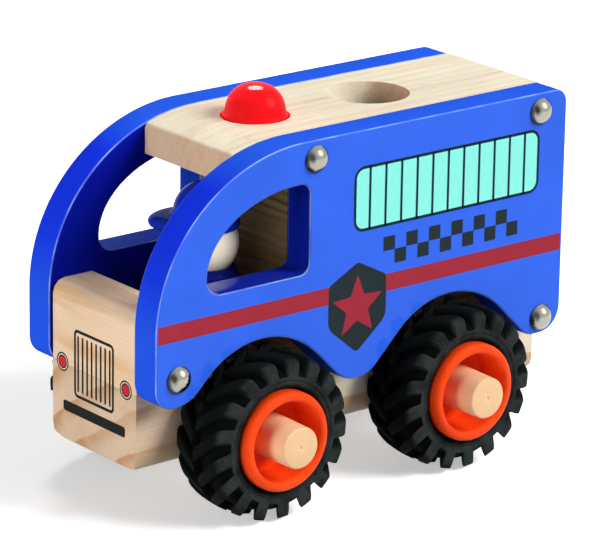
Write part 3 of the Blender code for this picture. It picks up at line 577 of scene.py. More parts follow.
def panel_mesh(name, y_low, window_shade_and_polish):
    """The board between y_low and its thickness: two walls of levels, and flat faces filled between them."""
    insets, depths = round_over_levels(BOARD, ROUND_OVER)
    inside = depths < BOARD / 2 if y_low > 0 else depths > BOARD / 2
    walls, masks = [], []
    for outline, way, shade_and_polish in ((panel_outline(), 1.0, (0.0, 0.0)), (window_outline(), -1.0, window_shade_and_polish)):
        levels = np.stack([inset(outline, way * by) for by in insets])
        y = np.broadcast_to((y_low + depths)[:, None, None], levels[..., :1].shape)
        walls.append(grid(np.concatenate([levels[..., :1], y, levels[..., 1:]], -1), close_columns=True))
        masks.append(wall_masks(outline, insets, inside, shade_and_polish))
    both_walls = {mask: np.concatenate([one[mask].ravel() for one in masks]) for mask in masks[0]}
    mesh = mesh_of(name, together(walls), **both_walls)
    bm = bmesh.new()
    bm.from_mesh(mesh)
    for depth in (depths[0], depths[-1]):
        level = (y_low + depth) * MM
        rim = [e for e in bm.edges if e.is_boundary and all(abs(v.co.y - level) < 1e-7 for v in e.verts)]
        bmesh.ops.triangle_fill(bm, use_beauty=True, edges=rim)
    return settle(bm, mesh, 40.0)


# Painted shade on each window's walls, and how far its sill is polished; the right window's walls get less
# shade, which paints light on them.
WINDOW_SHADE_AND_POLISH = {"left": (0.9, 0.8), "right": (0.3, 0.1)}
for side, y_low in (("left", PANEL_IN), ("right", -PANEL_OUT)):
    board = panel_mesh(f"panel_{side}", y_low, WINDOW_SHADE_AND_POLISH[side])
    add_piece(board, BLUE, "bus", "blue_gloss_paint", f"side_panel_{side}")
    print(board.name, len(board.polygons), "faces")

# %% [markdown]
# ## Printing on the panels
# The stripe, the barred window, the badge and a chequered band are screen-printed on the paint. A print
# could be a mask in the paint's shader, but real ink is a thin layer with a crisp edge, so each colour is a
# film a few hundredths of a millimetre thick. A filled shape runs from its centre out to its outline, and
# a drawn line is a band between an outline and the same outline moved inwards.

# %% Ink films
FILM = 0.04


def film(outline, lift=0.0):
    """A filled film: centre, outline below, outline above, centre; two parameters, outwards and around."""
    centre = np.broadcast_to(outline.mean(0), outline.shape)
    flat = np.stack([centre, outline, outline, centre])
    heights = np.broadcast_to(np.array([0.0, 0.0, FILM, FILM])[:, None, None] + lift, flat[..., :1].shape)
    return grid(np.concatenate([flat, heights], -1), close_columns=True)


def line_film(outline, width, lift=0.0):
    """A line of the given width just inside an outline, as a closed band."""
    inner = inset(outline, width)
    flat = np.stack([outline, outline, inner, inner])
    heights = np.broadcast_to(np.array([0.0, FILM, FILM, 0.0])[:, None, None] + lift, flat[..., :1].shape)
    return grid(np.concatenate([flat, heights], -1), close_rows=True, close_columns=True)


def on_side(surface, sign):
    """Film points (x, z, height) laid on a panel's outer face."""
    points, quads = surface
    return np.stack([points[:, 0], sign * (PANEL_OUT + points[:, 2]), points[:, 1]], 1), quads


def on_front(surface):
    """Film points (y, z, height) laid on the bonnet's front face."""
    points, quads = surface
    return np.stack([FRONT_FACE + points[:, 2], points[:, 0], points[:, 1]], 1), quads


INK_RED = ink("ink_brick_red", (0.35, 0.029, 0.048))
INK_DARK = ink("ink_slate", (0.020, 0.030, 0.034))
INK_NAVY = ink("ink_navy", (0.009, 0.026, 0.045))
INK_CYAN = ink("ink_pale_cyan", (0.265, 0.885, 0.78), mottling=0.015)
INK_BLACK = ink("ink_black", (0.012, 0.013, 0.012))
INK_LAMP = ink("ink_lamp_red", (0.62, 0.022, 0.040))
INK_WHITE = ink("ink_cream", (0.80, 0.74, 0.62))
print("seven inks, film of", FILM, "mm")


# %% Panel prints
def bars(centres, low, high, width):
    """Upright bars with rounded ends, one for each centre."""
    one = box_outline((-width / 2, low), (width / 2, high), 0.45 * width, steps=4)
    return [one + (centre, 0.0) for centre in centres]


def shield_outline(centre, half, top, shoulder, waist, foot):
    """A crest: a blunt top point, shoulders, upright sides and a pointed foot, all with rounded corners."""
    corners = [(0, top), (-half, shoulder), (-half, waist), (0, foot), (half, waist), (half, shoulder)]
    return rounded(corners, [2.5, 2.5, 6.0, 2.0, 6.0, 2.5], steps=12) + (centre, 0.0)


def star_outline(centre, radius, points=5, inner=0.44):
    """A star: the radius steps between its full length and a share of it at equal angles."""
    angle = math.pi / 2 + np.arange(2 * points) * math.pi / points
    reach = np.where(np.arange(2 * points) % 2 == 0, radius, inner * radius)
    return np.stack([centre[0] + reach * np.cos(angle), centre[1] + reach * np.sin(angle)], 1)


def chequer(start, foot, long, high, count):
    """Squares that step along a band and change between its two rows."""
    square = box_outline((0.0, 0.0), (long, high), 0.15, steps=3)
    return [square + (start + long * i, foot + high * (i % 2)) for i in range(count)]


PANE_REAR, PANE_FRONT, PANE_PARTS = 12.2, 94.9, 12
PANE = box_outline((PANE_REAR, 90.7), (PANE_FRONT, 113.5), 4.2, steps=10)
PANE_BARS = bars(np.linspace(PANE_REAR, PANE_FRONT, PANE_PARTS + 1)[1:-1], 90.9, 113.3, 1.0)
BADGE = shield_outline(92.6, 12.5, 80.3, 73.8, 58.8, 48.4)
STAR = star_outline((92.6, 64.6), 11.2)
STRIPE = box_outline((0.95, 67.6), (176.1, 73.7), 0.05, steps=2)
CHEQUER = chequer(21.3, 77.0, 5.03, 5.0, 12)
SIDE_PRINTS = {
    "stripe": (INK_RED, [film(STRIPE)]),
    "pane": (INK_CYAN, [film(PANE)]),
    "pane_bars": (INK_NAVY, [line_film(PANE, 1.03, 0.01)] + [film(bar, 0.01) for bar in PANE_BARS]),
    "chequer": (INK_DARK, [film(square) for square in CHEQUER]),
    "badge": (INK_DARK, [film(BADGE, 0.02)]),
    "star": (INK_RED, [film(STAR, 0.04)]),
}
for side, sign in SIDES.items():
    for name, (colour, films) in SIDE_PRINTS.items():
        mesh = mesh_of(f"print_{name}_{side}", together([on_side(one, sign) for one in films]))
        add_piece(mesh, colour, "bus", "blue_gloss_paint")
print("prints on each panel:", list(SIDE_PRINTS))

# %% [markdown]
# ## Printing on the front
# The grille, the two lamps and the bumper are printed straight on the pine, across the glue line between
# bonnet and chassis. They use the same films, laid on the front face.

# %% Front prints
GRILLE = box_outline((-11.2, 36.7), (11.2, 60.7), 2.0, steps=8)
GRILLE_BARS = bars(np.linspace(-8.9, 8.9, 8), 38.8, 58.6, 0.95)
BUMPER = box_outline((-17.4, 30.3), (17.4, 34.0), 1.0, steps=6)
LAMP_CENTRES = [(-17.8, 47.2), (17.8, 47.2)]


def lamp(radius):
    """The two lamp circles at a radius."""
    angle = np.linspace(0.0, 2.0 * math.pi, 40, endpoint=False)
    circle = radius * np.stack([np.cos(angle), np.sin(angle)], 1)
    return [circle + centre for centre in LAMP_CENTRES]


FRONT_PRINTS = {
    "grille": (INK_BLACK, [line_film(GRILLE, 1.05)] + [film(bar) for bar in GRILLE_BARS]),
    "bumper": (INK_BLACK, [film(BUMPER)]),
    "lamp_rims": (INK_BLACK, [line_film(one, 0.55, 0.01) for one in lamp(3.3)]),
    "lamp_rings": (INK_WHITE, [film(one) for one in lamp(3.2)]),
    "lamp_dots": (INK_LAMP, [film(one, 0.02) for one in lamp(1.95)]),
    "lamp_dot_rims": (INK_BLACK, [line_film(one, 0.48, 0.03) for one in lamp(2.4)]),
}
for name, (colour, films) in FRONT_PRINTS.items():
    add_piece(mesh_of(f"print_{name}", together([on_front(one) for one in films])), colour, "bus", "pine")
print("prints on the front:", list(FRONT_PRINTS))

# %% [markdown]
# ## Pine core
# The boards' solids have the right shape and holes, but razor edges. A real board is sanded, and its edges
# catch a thin line of light. Each one is copied, its triangles are merged back into flat faces, and its
# sharp edges get a bevel of a few tenths of a millimetre. Edges inside a glued joint keep a hair of it, and
# a film of glue fills the joint that shows on the front. Each board is its own piece of wood: the tone, the
# ring width and the place of the pith differ. The cab wall is darkened as painted shade, and the bonnet and
# the chassis's front end are warmed as painted light from the front, so the chassis turns from cream to
# peach along its length.

# %% Sanded boards
SHARP = math.radians(40.0)
HAIR = 0.05


def glued(edge):
    """True for an edge that a glued neighbour covers: the bonnet's joint, or the recess under the beacon."""
    middle = (edge.verts[0].co + edge.verts[1].co) / (2.0 * MM) + Vector((PANEL_LENGTH / 2, 0.0, 0.0))
    joint = middle.x > BONNET_BACK - 0.5 and CHASSIS_TOP - 0.5 < middle.z < CHASSIS_TOP + 0.7
    recess = middle.z > BEACON_BASE - 4.0 and math.hypot(middle.x - BEACON_X, middle.y) < 12.5
    return joint or recess


def sanded(node_name, piece_name, width, material):
    """A copy of a board with its edges over 40 degrees bevelled by a width in millimetres.

    Glued edges keep a hair of a bevel, so that no face's shading bends round a sharp corner.
    """
    bm = bmesh.new()
    bm.from_mesh(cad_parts[node_name].data)
    bmesh.ops.remove_doubles(bm, verts=bm.verts[:], dist=1e-6)
    bmesh.ops.dissolve_limit(bm, angle_limit=math.radians(0.6), verts=bm.verts[:], edges=bm.edges[:])
    shape = {"segments": 3, "profile": 0.5, "affect": "EDGES", "clamp_overlap": True}
    for offset, joined in ((width, False), (HAIR, True)):
        sharp = [e for e in bm.edges if len(e.link_faces) == 2 and e.calc_face_angle() > SHARP]
        edges = [e for e in sharp if glued(e) == joined]
        bmesh.ops.bevel(bm, geom=edges, offset=offset * MM, **shape)
    mesh = settle(bm, bpy.data.meshes.new(piece_name), 50.0)
    piece = add_piece(mesh, material, "bus", "pine", node_name)
    flatter = piece.modifiers.new("flat faces stay flat", "WEIGHTED_NORMAL")
    flatter.keep_sharp = True
    print(piece_name, len(mesh.polygons), "faces")


def painted_light_along(material, rear, front, start, end):
    """The board's pale tone changes along x between two places (mm from the middle of the bus), as painted
    light.
    """
    tree = material.node_tree
    x = node(tree, "SeparateXYZ", inputs=(object_point(tree),))
    share = ramp(tree, x, start * MM, end * MM)
    grain = next(one for one in tree.nodes if one.type == "GROUP")
    tree.links.new(mix(tree, share, (*rear, 1.0), (*front, 1.0)), grain.inputs["Pale"])


# The sand and the peach are the pine warmed as painted light from the front.
CREAM, WARM_LIT_SAND, WARM_LIT_PEACH = (0.91, 0.80, 0.60), (0.835, 0.66, 0.475), (0.90, 0.655, 0.45)
# The olive and the dark line are painted shade for the cab wall; the brown is the chassis's late wood.
BROWN, SHADED_OLIVE, SHADED_LINE = (0.60, 0.345, 0.17), (0.46, 0.33, 0.11), (0.07, 0.04, 0.012)
ROOF_PINE = pine("pine_roof", "x", (0, 170, 30), 4.6, 0.30, 0.28, patch=0.8)
CHASSIS_PINE = pine(
    "pine_chassis", "x", (0, 104.3, -115.8), 12.9, 0.95, 0.3, 0.35, patch=0.45, pale=WARM_LIT_SAND, late=BROWN
)
BONNET_PINE = pine("pine_bonnet", "y", (0, 30, 95), 3.6, 0.22, 1.0, pale=WARM_LIT_PEACH)
# The cab wall's olive with near-black lines is painted shade.
CAB_SHADED_PINE = pine(
    "pine_cab_wall_painted_shade", "y", (0, -14, 60), 3.1, 0.85, 0.8, fibre=0.3, patch=0.9, pale=SHADED_OLIVE, late=SHADED_LINE
)
BACK_PINE = pine("pine_back_wall", "y", (0, 130, 40), 1.9, 0.4, 0.25)
painted_light_along(CHASSIS_PINE, CREAM, WARM_LIT_SAND, 20.0, 75.0)
sanded("roof_board", "roof", 0.35, ROOF_PINE)
sanded("chassis_board", "chassis", 0.5, CHASSIS_PINE)
sanded("bonnet_block", "bonnet", 0.35, BONNET_PINE)
sanded("cab_back_wall", "cab_wall", 0.3, CAB_SHADED_PINE)
sanded("rear_wall", "back_wall", 0.3, BACK_PINE)

# %% Glue line
GLUE_PALE, GLUE_LATE = (0.62, 0.44, 0.26), (0.40, 0.26, 0.14)
GLUE_WOOD = pine("glue_line", "y", (0, 30, 95), contrast=0.3, pale=GLUE_PALE, late=GLUE_LATE)
HALF_LINE = CORE_HALF - 0.3
glue_outline = box_outline((BONNET_BACK + 0.3, -HALF_LINE), (FRONT_FACE - 0.05, HALF_LINE), 0.3, steps=4)
glue_points, glue_quads = film(glue_outline)
glue_points[:, 2] = CHASSIS_TOP + np.where(glue_points[:, 2] > 0.5 * FILM, GLUE - 0.01, 0.01)
add_piece(mesh_of("bonnet_glue_line", (glue_points, glue_quads)), GLUE_WOOD, "bus", "pine")
print("glue line of", len(glue_quads), "faces")

# %% [markdown]
# ## Beacon
# The lamp on the roof is a turned dome with a thin skirt, dipped in red gloss. It is a little fuller than
# half a ball, so its profile is a superellipse: the cosine and the sine are raised to a power just under 1.
# The profile is carried round the upright axis, and a thin clear coat on the red gives a crisp highlight.

# %% Beacon
RED_COAT = {"Specular_IOR_Level": 0.0, "Coat_Weight": 0.25, "Coat_Roughness": 0.12}
RED = gloss_paint("beacon_red_gloss", (0.82, 0.0015, 0.005), peel=0.02, **RED_COAT)
FULLNESS = 2.0 / 2.25
arc = np.linspace(0.0, math.pi / 2, 30)
ball = np.stack([10.4 * np.cos(arc) ** FULLNESS, 2.4 + 10.6 * np.sin(arc) ** FULLNESS], 1)
foot = eased([(0.0, -8.0), (4.0, -8.0), (4.0, 0.0), (11.6, 0.0), (11.6, 0.9)], 0.3)
skirt = eased([(11.6, 0.9), (11.2, 1.1), (11.15, 2.25), (10.85, 2.5), (10.55, 2.8), (10.38, 3.8)], 0.3)
profile = np.vstack([foot[:-1], skirt[:-1], ball[4:]])
beacon = mesh_of("beacon_lamp", turned(profile, (BEACON_X, 0.0, BEACON_BASE), (0, 0, 1)))
add_piece(beacon, RED, "bus", "red_gloss_paint", "beacon")
print("beacon faces:", len(beacon.polygons))

# %% [markdown]
# ## Nails
# Each panel is held by four dome-headed nails of plated steel. The dome is a shallow cap of a ball with a
# small rolled rim. Its plating has the fine swirls of tumbling in a barrel. A mask on the mesh paints shade
# at the low front of the rim and a dark reflection in a smear before the crown.


# %% Nails
def nickel_plate():
    """Bright plating with fine swirls, dark and dull where the mesh's mask paints shade and a dark
    reflection.
    """
    material, tree, shader = finish("nickel_plate", Metallic=1.0)
    point = object_point(tree)
    swirl = noise(tree, point, 900.0, 4.0)
    patchiness = noise(tree, point, 260.0)
    painted_dark = times(tree, attribute(tree, "tarnish"), ramp(tree, patchiness, 0.3, 0.7, 0.85, 1.0))
    # The near-black is painted shade on the rim and a painted dark reflection in the smear.
    colour = mix(tree, painted_dark, (0.37, 0.36, 0.31, 1), (0.016, 0.020, 0.020, 1))
    rough = plus(tree, ramp(tree, swirl, 0.3, 0.7, 0.10, 0.20), times(tree, painted_dark, 0.2))
    dress(tree, shader, colour, rough, swirl, 0.05, 0.0002)
    return material


NICKEL = nickel_plate()
NAILS = {
    "roof_front": (111.3, 119.5),
    "roof_rear": (12.1, 119.5),
    "bonnet": (167.65, 54.3),
    "chassis": (9.1, 44.3),
}
NAIL_HEAD, NAIL_RISE, NAIL_SEAT = 4.75, 3.0, 0.3
BALL_RADIUS = (NAIL_HEAD**2 + NAIL_RISE**2) / (2 * NAIL_RISE)
tilt = np.linspace(0.0, math.asin(4.6 / BALL_RADIUS), 16)
dome_high = NAIL_SEAT + NAIL_RISE - BALL_RADIUS * (1 - np.cos(tilt))
dome = np.stack([BALL_RADIUS * np.sin(tilt), dome_high], 1)
rim = [dome[-1], (NAIL_HEAD, 0.42), (4.62, NAIL_SEAT)]
shank = [(1.0, NAIL_SEAT), (1.0, -18.6), (0.0, -20.0)]
nail_profile = np.vstack([dome, eased(rim + shank, 0.12, 4)[1:]])


def tarnish_of(points, x, z):
    """Painted shade on the low front of the rim, and a painted dark reflection in a smear before the crown.
    """
    u, v = (points[:, 0] - x) / NAIL_HEAD, (points[:, 2] - z) / NAIL_HEAD
    # Painted shade at the low front of the rim, and a painted dark reflection in the smear.
    rim = np.clip((np.hypot(u, v) - 0.80) / 0.12, 0.0, 1.0) * np.clip(0.55 + 0.7 * u - 0.7 * v, 0.0, 1.0)
    dark_reflection = np.clip(1.5 * np.exp(-(((u - 0.70) / 0.24) ** 2) - ((v - 0.32) / 0.46) ** 2) - 0.25, 0.0, 0.97)
    return np.maximum(rim, dark_reflection)


for side, sign in SIDES.items():
    for name, (x, z) in NAILS.items():
        surface = turned(nail_profile, (x, sign * PANEL_OUT, z), (0, sign, 0), 48)
        mesh = mesh_of(f"nail_{name}_{side}", surface, tarnish=tarnish_of(surface[0], x, z))
        add_piece(mesh, NICKEL, "bus", "nickel", f"nail_{side}_{name}")
print("nails:", 2 * len(NAILS))

# %% [markdown]
# ## Tyres
# The tyres are tractor tyres in small: a plain carcass with two rows of slanting lugs that meet as
# chevrons. Two profiles share one parameter: the bare carcass, and the line over a lug's top. Round the
# wheel a weight runs from 0 in the gaps to 1 on a lug, easing over its flanks, and the surface is the
# carcass plus the weight times the difference. The columns lean with the lugs, so their edges stay crisp.

# %% Tyre sections
LUGS = 17
PITCH = 2.0 * math.pi / LUGS
TYRE_HALF = 11.5
PHASE = math.radians(11.4)
SKEW, FAN = math.radians(20.0), math.radians(1.2)
SIDEWALL = [
    (15.8, 8.9), (17.7, 8.9), (17.9, 10.4), (18.6, 11.1),
    (19.9, 11.2), (20.2, 11.0), (20.6, 11.35), (21.6, 11.5),
]
CARCASS = np.array(SIDEWALL + [
    (22.3, 11.4), (22.7, 10.7), (23.4, 9.9), (24.4, 8.9), (25.2, 7.6),
    (25.6, 6.0), (25.8, 4.0), (25.9, 2.0), (25.9, 0.0),
])
OVER_LUG = np.array(SIDEWALL + [
    (22.4, 11.5), (23.4, 11.5), (25.4, 11.42), (26.9, 11.1), (27.9, 10.2),
    (28.5, 8.8), (28.8, 6.0), (29.0, 3.0), (29.0, 0.0),
])


def dense(section, per_step=5, passes=2):
    """Even steps along a section's straight runs, then a short moving average that rounds its corners."""
    t = np.linspace(0, len(section) - 1, per_step * (len(section) - 1) + 1)
    lines = np.stack([np.interp(t, np.arange(len(section)), section[:, k]) for k in (0, 1)], 1)
    for _ in range(passes):
        lines[1:-1] = 0.25 * lines[:-2] + 0.5 * lines[1:-1] + 0.25 * lines[2:]
    return lines


print("tyre section:", len(dense(CARCASS)), "points for each half")

# %% Tyre surface
FLANK = 0.085


def tyre_surface():
    """Radius and y = carcass + weight (over lug - carcass); angle = column + skew |y| + fan y, in columns.

    Also gives a mask of wear and painted shade: rubbing greys the sidewall's lugs and ring, and the tread's
    lugs get little grey, which keeps them dark as painted shade.
    """
    half_bare, half_lug = dense(CARCASS), dense(OVER_LUG)
    bare = np.vstack([half_bare, half_bare[-2::-1] * (1, -1)])
    lug = np.vstack([half_lug, half_lug[-2::-1] * (1, -1)])
    near = np.arange(len(bare)) < len(half_bare)
    flank = FLANK * np.linspace(0.0, 1.0, 8) ** 1.4
    flat = np.linspace(FLANK, 0.5 - FLANK, 4)[1:-1]
    row = np.concatenate([flank, flat, 0.5 - flank[::-1]])[:-1]
    share = np.concatenate([row, row + 0.5])
    rise = np.sin(0.5 * math.pi * np.clip(np.minimum(row, 0.5 - row) / FLANK, 0.0, 1.0)) ** 0.6
    weight_near = np.tile(np.concatenate([rise, 0.0 * rise]), LUGS)
    weight_far = np.tile(np.concatenate([0.0 * rise, rise]), LUGS)
    column = ((np.arange(LUGS)[:, None] + share[None]) * PITCH).ravel()
    lean = np.tile(np.where(share < 0.5, 4.0 * share - 1.0, 3.0 - 4.0 * share), LUGS)
    weight = np.where(near[:, None], weight_near[None], weight_far[None])
    section = bare[:, None] + weight[..., None] * (lug - bare)[:, None]
    out = section[..., 1] / TYRE_HALF
    angle = PHASE + column[None] + SKEW * np.abs(out) + FAN * out * lean[None]
    x, z = section[..., 0] * np.cos(angle), section[..., 0] * np.sin(angle)
    side = np.clip((np.abs(out) - 0.85) / 0.13, 0.0, 1.0) * np.clip((section[..., 0] - 18.0) / 2.0, 0.0, 1.0)
    # Painted shade: the tread's lugs get only a little of the grey.
    wear = np.clip(side * np.maximum(weight, section[..., 0] < 22.0) + 0.12 * weight, 0.0, 1.0)
    surface = grid(np.stack([x, section[..., 1], z], -1), close_rows=True, close_columns=True)
    return surface, wear


def rubber():
    """Moulded rubber with a pitted skin: near black in the grooves, greyed and speckled where it rubs,
    and left dark on the tread as painted shade.
    """
    material, tree, shader = finish("black_moulded_rubber", Specular_IOR_Level=0.012)
    point = object_point(tree)
    pits = noise(tree, point, 1500.0, 3.0)
    bloom = noise(tree, point, 150.0, 4.0)
    dust = ramp(tree, noise(tree, point, 2600.0, 1.0), 0.62, 0.72)
    wear = attribute(tree, "wear")
    grey = times(tree, wear, ramp(tree, bloom, 0.3, 0.7, 0.35, 1.0))
    colour = mix(tree, grey, (0.0035, 0.0042, 0.0040, 1), (0.030, 0.037, 0.0365, 1))
    speckle = times(tree, dust, times(tree, wear, 0.5))
    colour = mix(tree, speckle, colour, (0.075, 0.085, 0.085, 1))
    dress(tree, shader, colour, ramp(tree, pits, 0.3, 0.7, 0.55, 0.75), pits, 0.30, 0.00025)
    return material


print("rubber lugs:", LUGS, "a side")


# %% Tyres at the wheels
AXLES = {"front": FRONT_AXLE, "rear": REAR_AXLE}
WHEEL_FOOT = CORE_HALF + 0.5
TYRE_MIDDLE = WHEEL_FOOT + 12.0


def at_wheels(surface, y, piece, node_name, material, slot, turning=True, smooth_to=40.0, **masks):
    """A surface moved to each axle end as a piece that rides on the wheel, or on the bus if it isn't turning.

    On the right it is turned half round, so that outside stays outside.
    """
    points, quads = surface
    for axle, x in AXLES.items():
        for side, sign in SIDES.items():
            place = f"{axle}_{side}"
            moved = points * (sign, sign, 1.0) + (x, sign * y, AXLE_Z)
            mesh = mesh_of(f"{piece}_{place}", (moved, quads), smooth_to, **masks)
            add_piece(mesh, material, f"wheel_{place}" if turning else "bus", slot, f"{node_name}_{place}")
    print(f"each {piece} has", len(quads), "faces")


tyre, tyre_wear = tyre_surface()
at_wheels(tyre, TYRE_MIDDLE, "tread", "tyre", rubber(), "black_rubber", smooth_to=50.0, wear=tyre_wear)

# %% [markdown]
# ## Hubs
# The hub is one moulding in orange plastic: a bored boss, a web, a barrel that the tyre grips, and a deep
# cup with a fat rounded lip. Its section is a closed loop, so one turn round the axle makes a whole solid.


# %% Hubs
def orange_plastic():
    """Moulded plastic, a little paler where it flowed, with a faintly grained skin."""
    material, tree, shader = finish("orange_moulded_plastic", Specular_IOR_Level=0.10)
    point = object_point(tree)
    flow = noise(tree, point, 70.0, 3.0)
    skin = noise(tree, point, 1100.0)
    colour = mix(tree, ramp(tree, flow, 0.3, 0.7), (0.93, 0.060, 0.006, 1), (0.98, 0.072, 0.009, 1))
    dress(tree, shader, colour, ramp(tree, skin, 0.3, 0.7, 0.26, 0.38), skin, 0.04, 0.0002)
    return material


LIP_MIDDLE, LIP_RADIUS = (15.5, 24.55), 1.85
lip_turn = np.linspace(0.0, math.pi, 17)
lip = LIP_MIDDLE + LIP_RADIUS * np.stack([np.cos(lip_turn), np.sin(lip_turn)], 1)
back = [(4.9, 14.4), (4.9, 0.0), (7.9, 0.0), (7.9, 11.4), (13.5, 11.4), (13.5, 0.0)]
back += [(16.45, 0.0), (16.45, 2.2), (15.5, 2.2), (15.5, 21.2), (17.35, 21.2), (17.35, 24.55)]
cup = [(13.65, 24.55), (12.7, 14.4), (4.9, 14.4)]
section = np.vstack([eased(back, 0.25, 3), lip[1:-1], eased(cup, 0.4, 6)])
hub = turned(section[:-1], (0, 0, 0), (0, 1, 0), 96, closed=True)
at_wheels(hub, WHEEL_FOOT, "rim", "hub", orange_plastic(), "orange_plastic")

# %% [markdown]
# ## Axle pegs
# Each wheel turns on a turned peg of pale hardwood that is glued into the chassis. Its fat head narrows a
# little towards the end, whose edge is eased, and the lathe's centre has left a small dimple there.

# %% Pegs
PEG_WOOD = pine(
    "peg_hardwood", "y", (0.0, 14.0, 20.0), ring=1.6, contrast=0.2, warmth=0.10, end=0.0, fleck=0.02,
    fibre=0.03, pale=(0.86, 0.56, 0.31), late=(0.74, 0.45, 0.23)
)
PEG_END, PEG_SEAT, PEG_ROOT = 33.3, 15.3, -13.7
PEG_EASING = np.array([0.1, 0.3, 0.75, 0.4, 0.3, 0.3, 0.3])
peg_profile = [(0.0, PEG_END - 0.5), (0.35, PEG_END - 0.3), (0.7, PEG_END), (7.2, PEG_END), (7.6, PEG_SEAT)]
peg_profile += [(4.5, PEG_SEAT), (4.5, PEG_ROOT + 0.6), (3.9, PEG_ROOT), (0.0, PEG_ROOT)]
peg = turned(eased(peg_profile, PEG_EASING), (0, 0, 0), (0, 1, 0), 72)
at_wheels(peg, CORE_HALF, "peg", "axle_peg", PEG_WOOD, "peg_wood", turning=False)

# %% [markdown]
# ## Driver
# A peg doll drives: a plain turned body, an egg for a head and a cap with a thick rounded peak. Body and
# head are turned profiles. The cap is a turned profile too, but its radius also swells with the angle, by
# the cube of the cosine of the angle from straight ahead, which draws the peak out of the band.

# %% Driver's body and head
HEAD_CENTRE = 85.4
EGG_WIDE, EGG_HIGH, CAP_SEAT = 11.2, 11.7, 5.0
DISH_WIDE, DISH_HIGH = 11.5, 11.99
UNIFORM = gloss_paint("uniform_blue_gloss", (0.004, 0.010, 0.17), Specular_IOR_Level=0.06)
HEAD_WOOD = pine(
    "head_pale_wood", "z", (30.0, 10.0, 0.0), ring=1.6, contrast=0.10, warmth=0.04, end=0.0, fleck=0.0,
    fibre=0.02, pale=(0.95, 0.85, 0.69), late=(0.90, 0.78, 0.60)
)
body_profile = [(0.0, 0.0), (11.2, 0.0), (11.2, 30.7), (10.6, 32.4), (8.7, 33.6)]
dish = np.linspace(8.6, 0.0, 14)
dish_height = HEAD_CENTRE - DRIVER_FOOT - DISH_HIGH * np.sqrt(1.0 - (dish / DISH_WIDE) ** 2)
body_shape = np.vstack([eased(body_profile, 0.9), np.stack([dish, dish_height], 1)])
drum = mesh_of("driver_peg", turned(body_shape, (DRIVER_X, 0, DRIVER_FOOT), (0, 0, 1), 80))
add_piece(drum, UNIFORM, "driver", "driver_blue_paint", "driver_body")
turn = np.linspace(0.0, math.acos(-CAP_SEAT / EGG_HIGH), 36)
egg = np.stack([EGG_WIDE * np.sin(turn), -EGG_HIGH * np.cos(turn)], 1)
head_shape = np.vstack([egg, [(7.0, CAP_SEAT), (7.0, 11.0), (0.0, 11.0)]])
head = mesh_of("driver_egg_head", turned(head_shape, (DRIVER_X, 0, HEAD_CENTRE), (0, 0, 1), 80))
add_piece(head, HEAD_WOOD, "driver", "driver_skin_paint", "driver_head")
print("head centre at z", HEAD_CENTRE, "mm")

# %% Driver's cap
CAP_BLUE = gloss_paint("cap_blue_gloss", (0.009, 0.028, 0.40), Specular_IOR_Level=0.015)
CAP_FOOT = HEAD_CENTRE + CAP_SEAT + 0.3
PEAK = 8.2
DRIVER_TURN = math.radians(-30.0)


def cap_surface():
    """Reach = radius + share peak cos(angle)^3 ahead, on rings from the socket, round the band, to the crown.

    Each ring is its radius, its height and its share of the peak.
    """
    socket = [(0.0, 6.3, 0.0), (7.3, 6.3, 0.0), (7.3, 0.0, 0.0)]
    t = np.linspace(-math.pi / 2, math.pi / 2, 13)
    band = np.stack([11.5 - 0.9 * (1 - np.cos(t)), 2.25 + 2.25 * np.sin(t), 0.62 + 0.38 * np.cos(t)], 1)
    t = np.linspace(0.0, math.pi / 2, 20)
    crown = np.stack([11.3 * np.cos(t), 4.9 + 10.9 * np.sin(t), 0.0 * t], 1)
    join = [(11.0, 4.52, 0.3), (11.15, 4.62, 0.06)]
    section = np.vstack([socket, [(9.5, 0.0, 0.3)], band, join, crown])
    angle = np.linspace(0.0, 2.0 * math.pi, 120, endpoint=False)
    reach = section[:, :1] + section[:, 2:] * PEAK * np.maximum(0.0, np.cos(angle)) ** 3
    high = np.broadcast_to(CAP_FOOT + section[:, 1:2], reach.shape)
    facing = angle + DRIVER_TURN
    points = np.stack([DRIVER_X + reach * np.cos(facing), reach * np.sin(facing), high], -1)
    return grid(points, close_columns=True)


cap = mesh_of("driver_peaked_cap", cap_surface(), 50.0)
add_piece(cap, CAP_BLUE, "driver", "cap_blue_paint", "driver_cap")
print("cap faces:", len(cap.polygons))

# %% [markdown]
# ## Floor, light and camera
# The photograph is a plain studio shot on white. The key light is broad and stands behind the bus, on its
# left and above. A front lamp and a card on the floor lift the bonnet, but the front lamp is flagged off the
# cab's back wall, which lies in shade. A back lamp lights the roof, a small one gives the beacon its
# highlight, and a narrow one reaches the driver through the window. The floor is white and keeps a soft
# shadow. The camera's place and lens were worked out from the bus's straight edges and wheels.


# %% Floor
def seen_as_white(tree):
    """1 for what the camera, a mirror or clear glass shows, 0 for the light that bounces off."""
    path = add_node(tree, "LightPath").outputs
    seen = calc(tree, "MAXIMUM", path["Is Camera Ray"], path["Is Glossy Ray"])
    return calc(tree, "MAXIMUM", seen, path["Is Transmission Ray"])


def floor_paper():
    """White to the camera, and greyer for the light that it throws back on the bus."""
    constants = {"Roughness": 0.9, "Specular_IOR_Level": 0.1, "Emission_Strength": 1.0}
    material, tree, shader = finish("white_paper", **constants)
    seen = seen_as_white(tree)
    fleck = noise(tree, object_point(tree), 8.0)
    white = mix(tree, ramp(tree, fleck, 0.3, 0.7), (0.985, 0.985, 0.985, 1), (0.995, 0.995, 0.995, 1))
    tree.links.new(mix(tree, seen, (0.45, 0.45, 0.45, 1), white), shader.inputs["Base Color"])
    glow = mix(tree, seen, (0, 0, 0, 1), (0.46, 0.46, 0.46, 1))
    tree.links.new(glow, shader.inputs["Emission Color"])
    return material


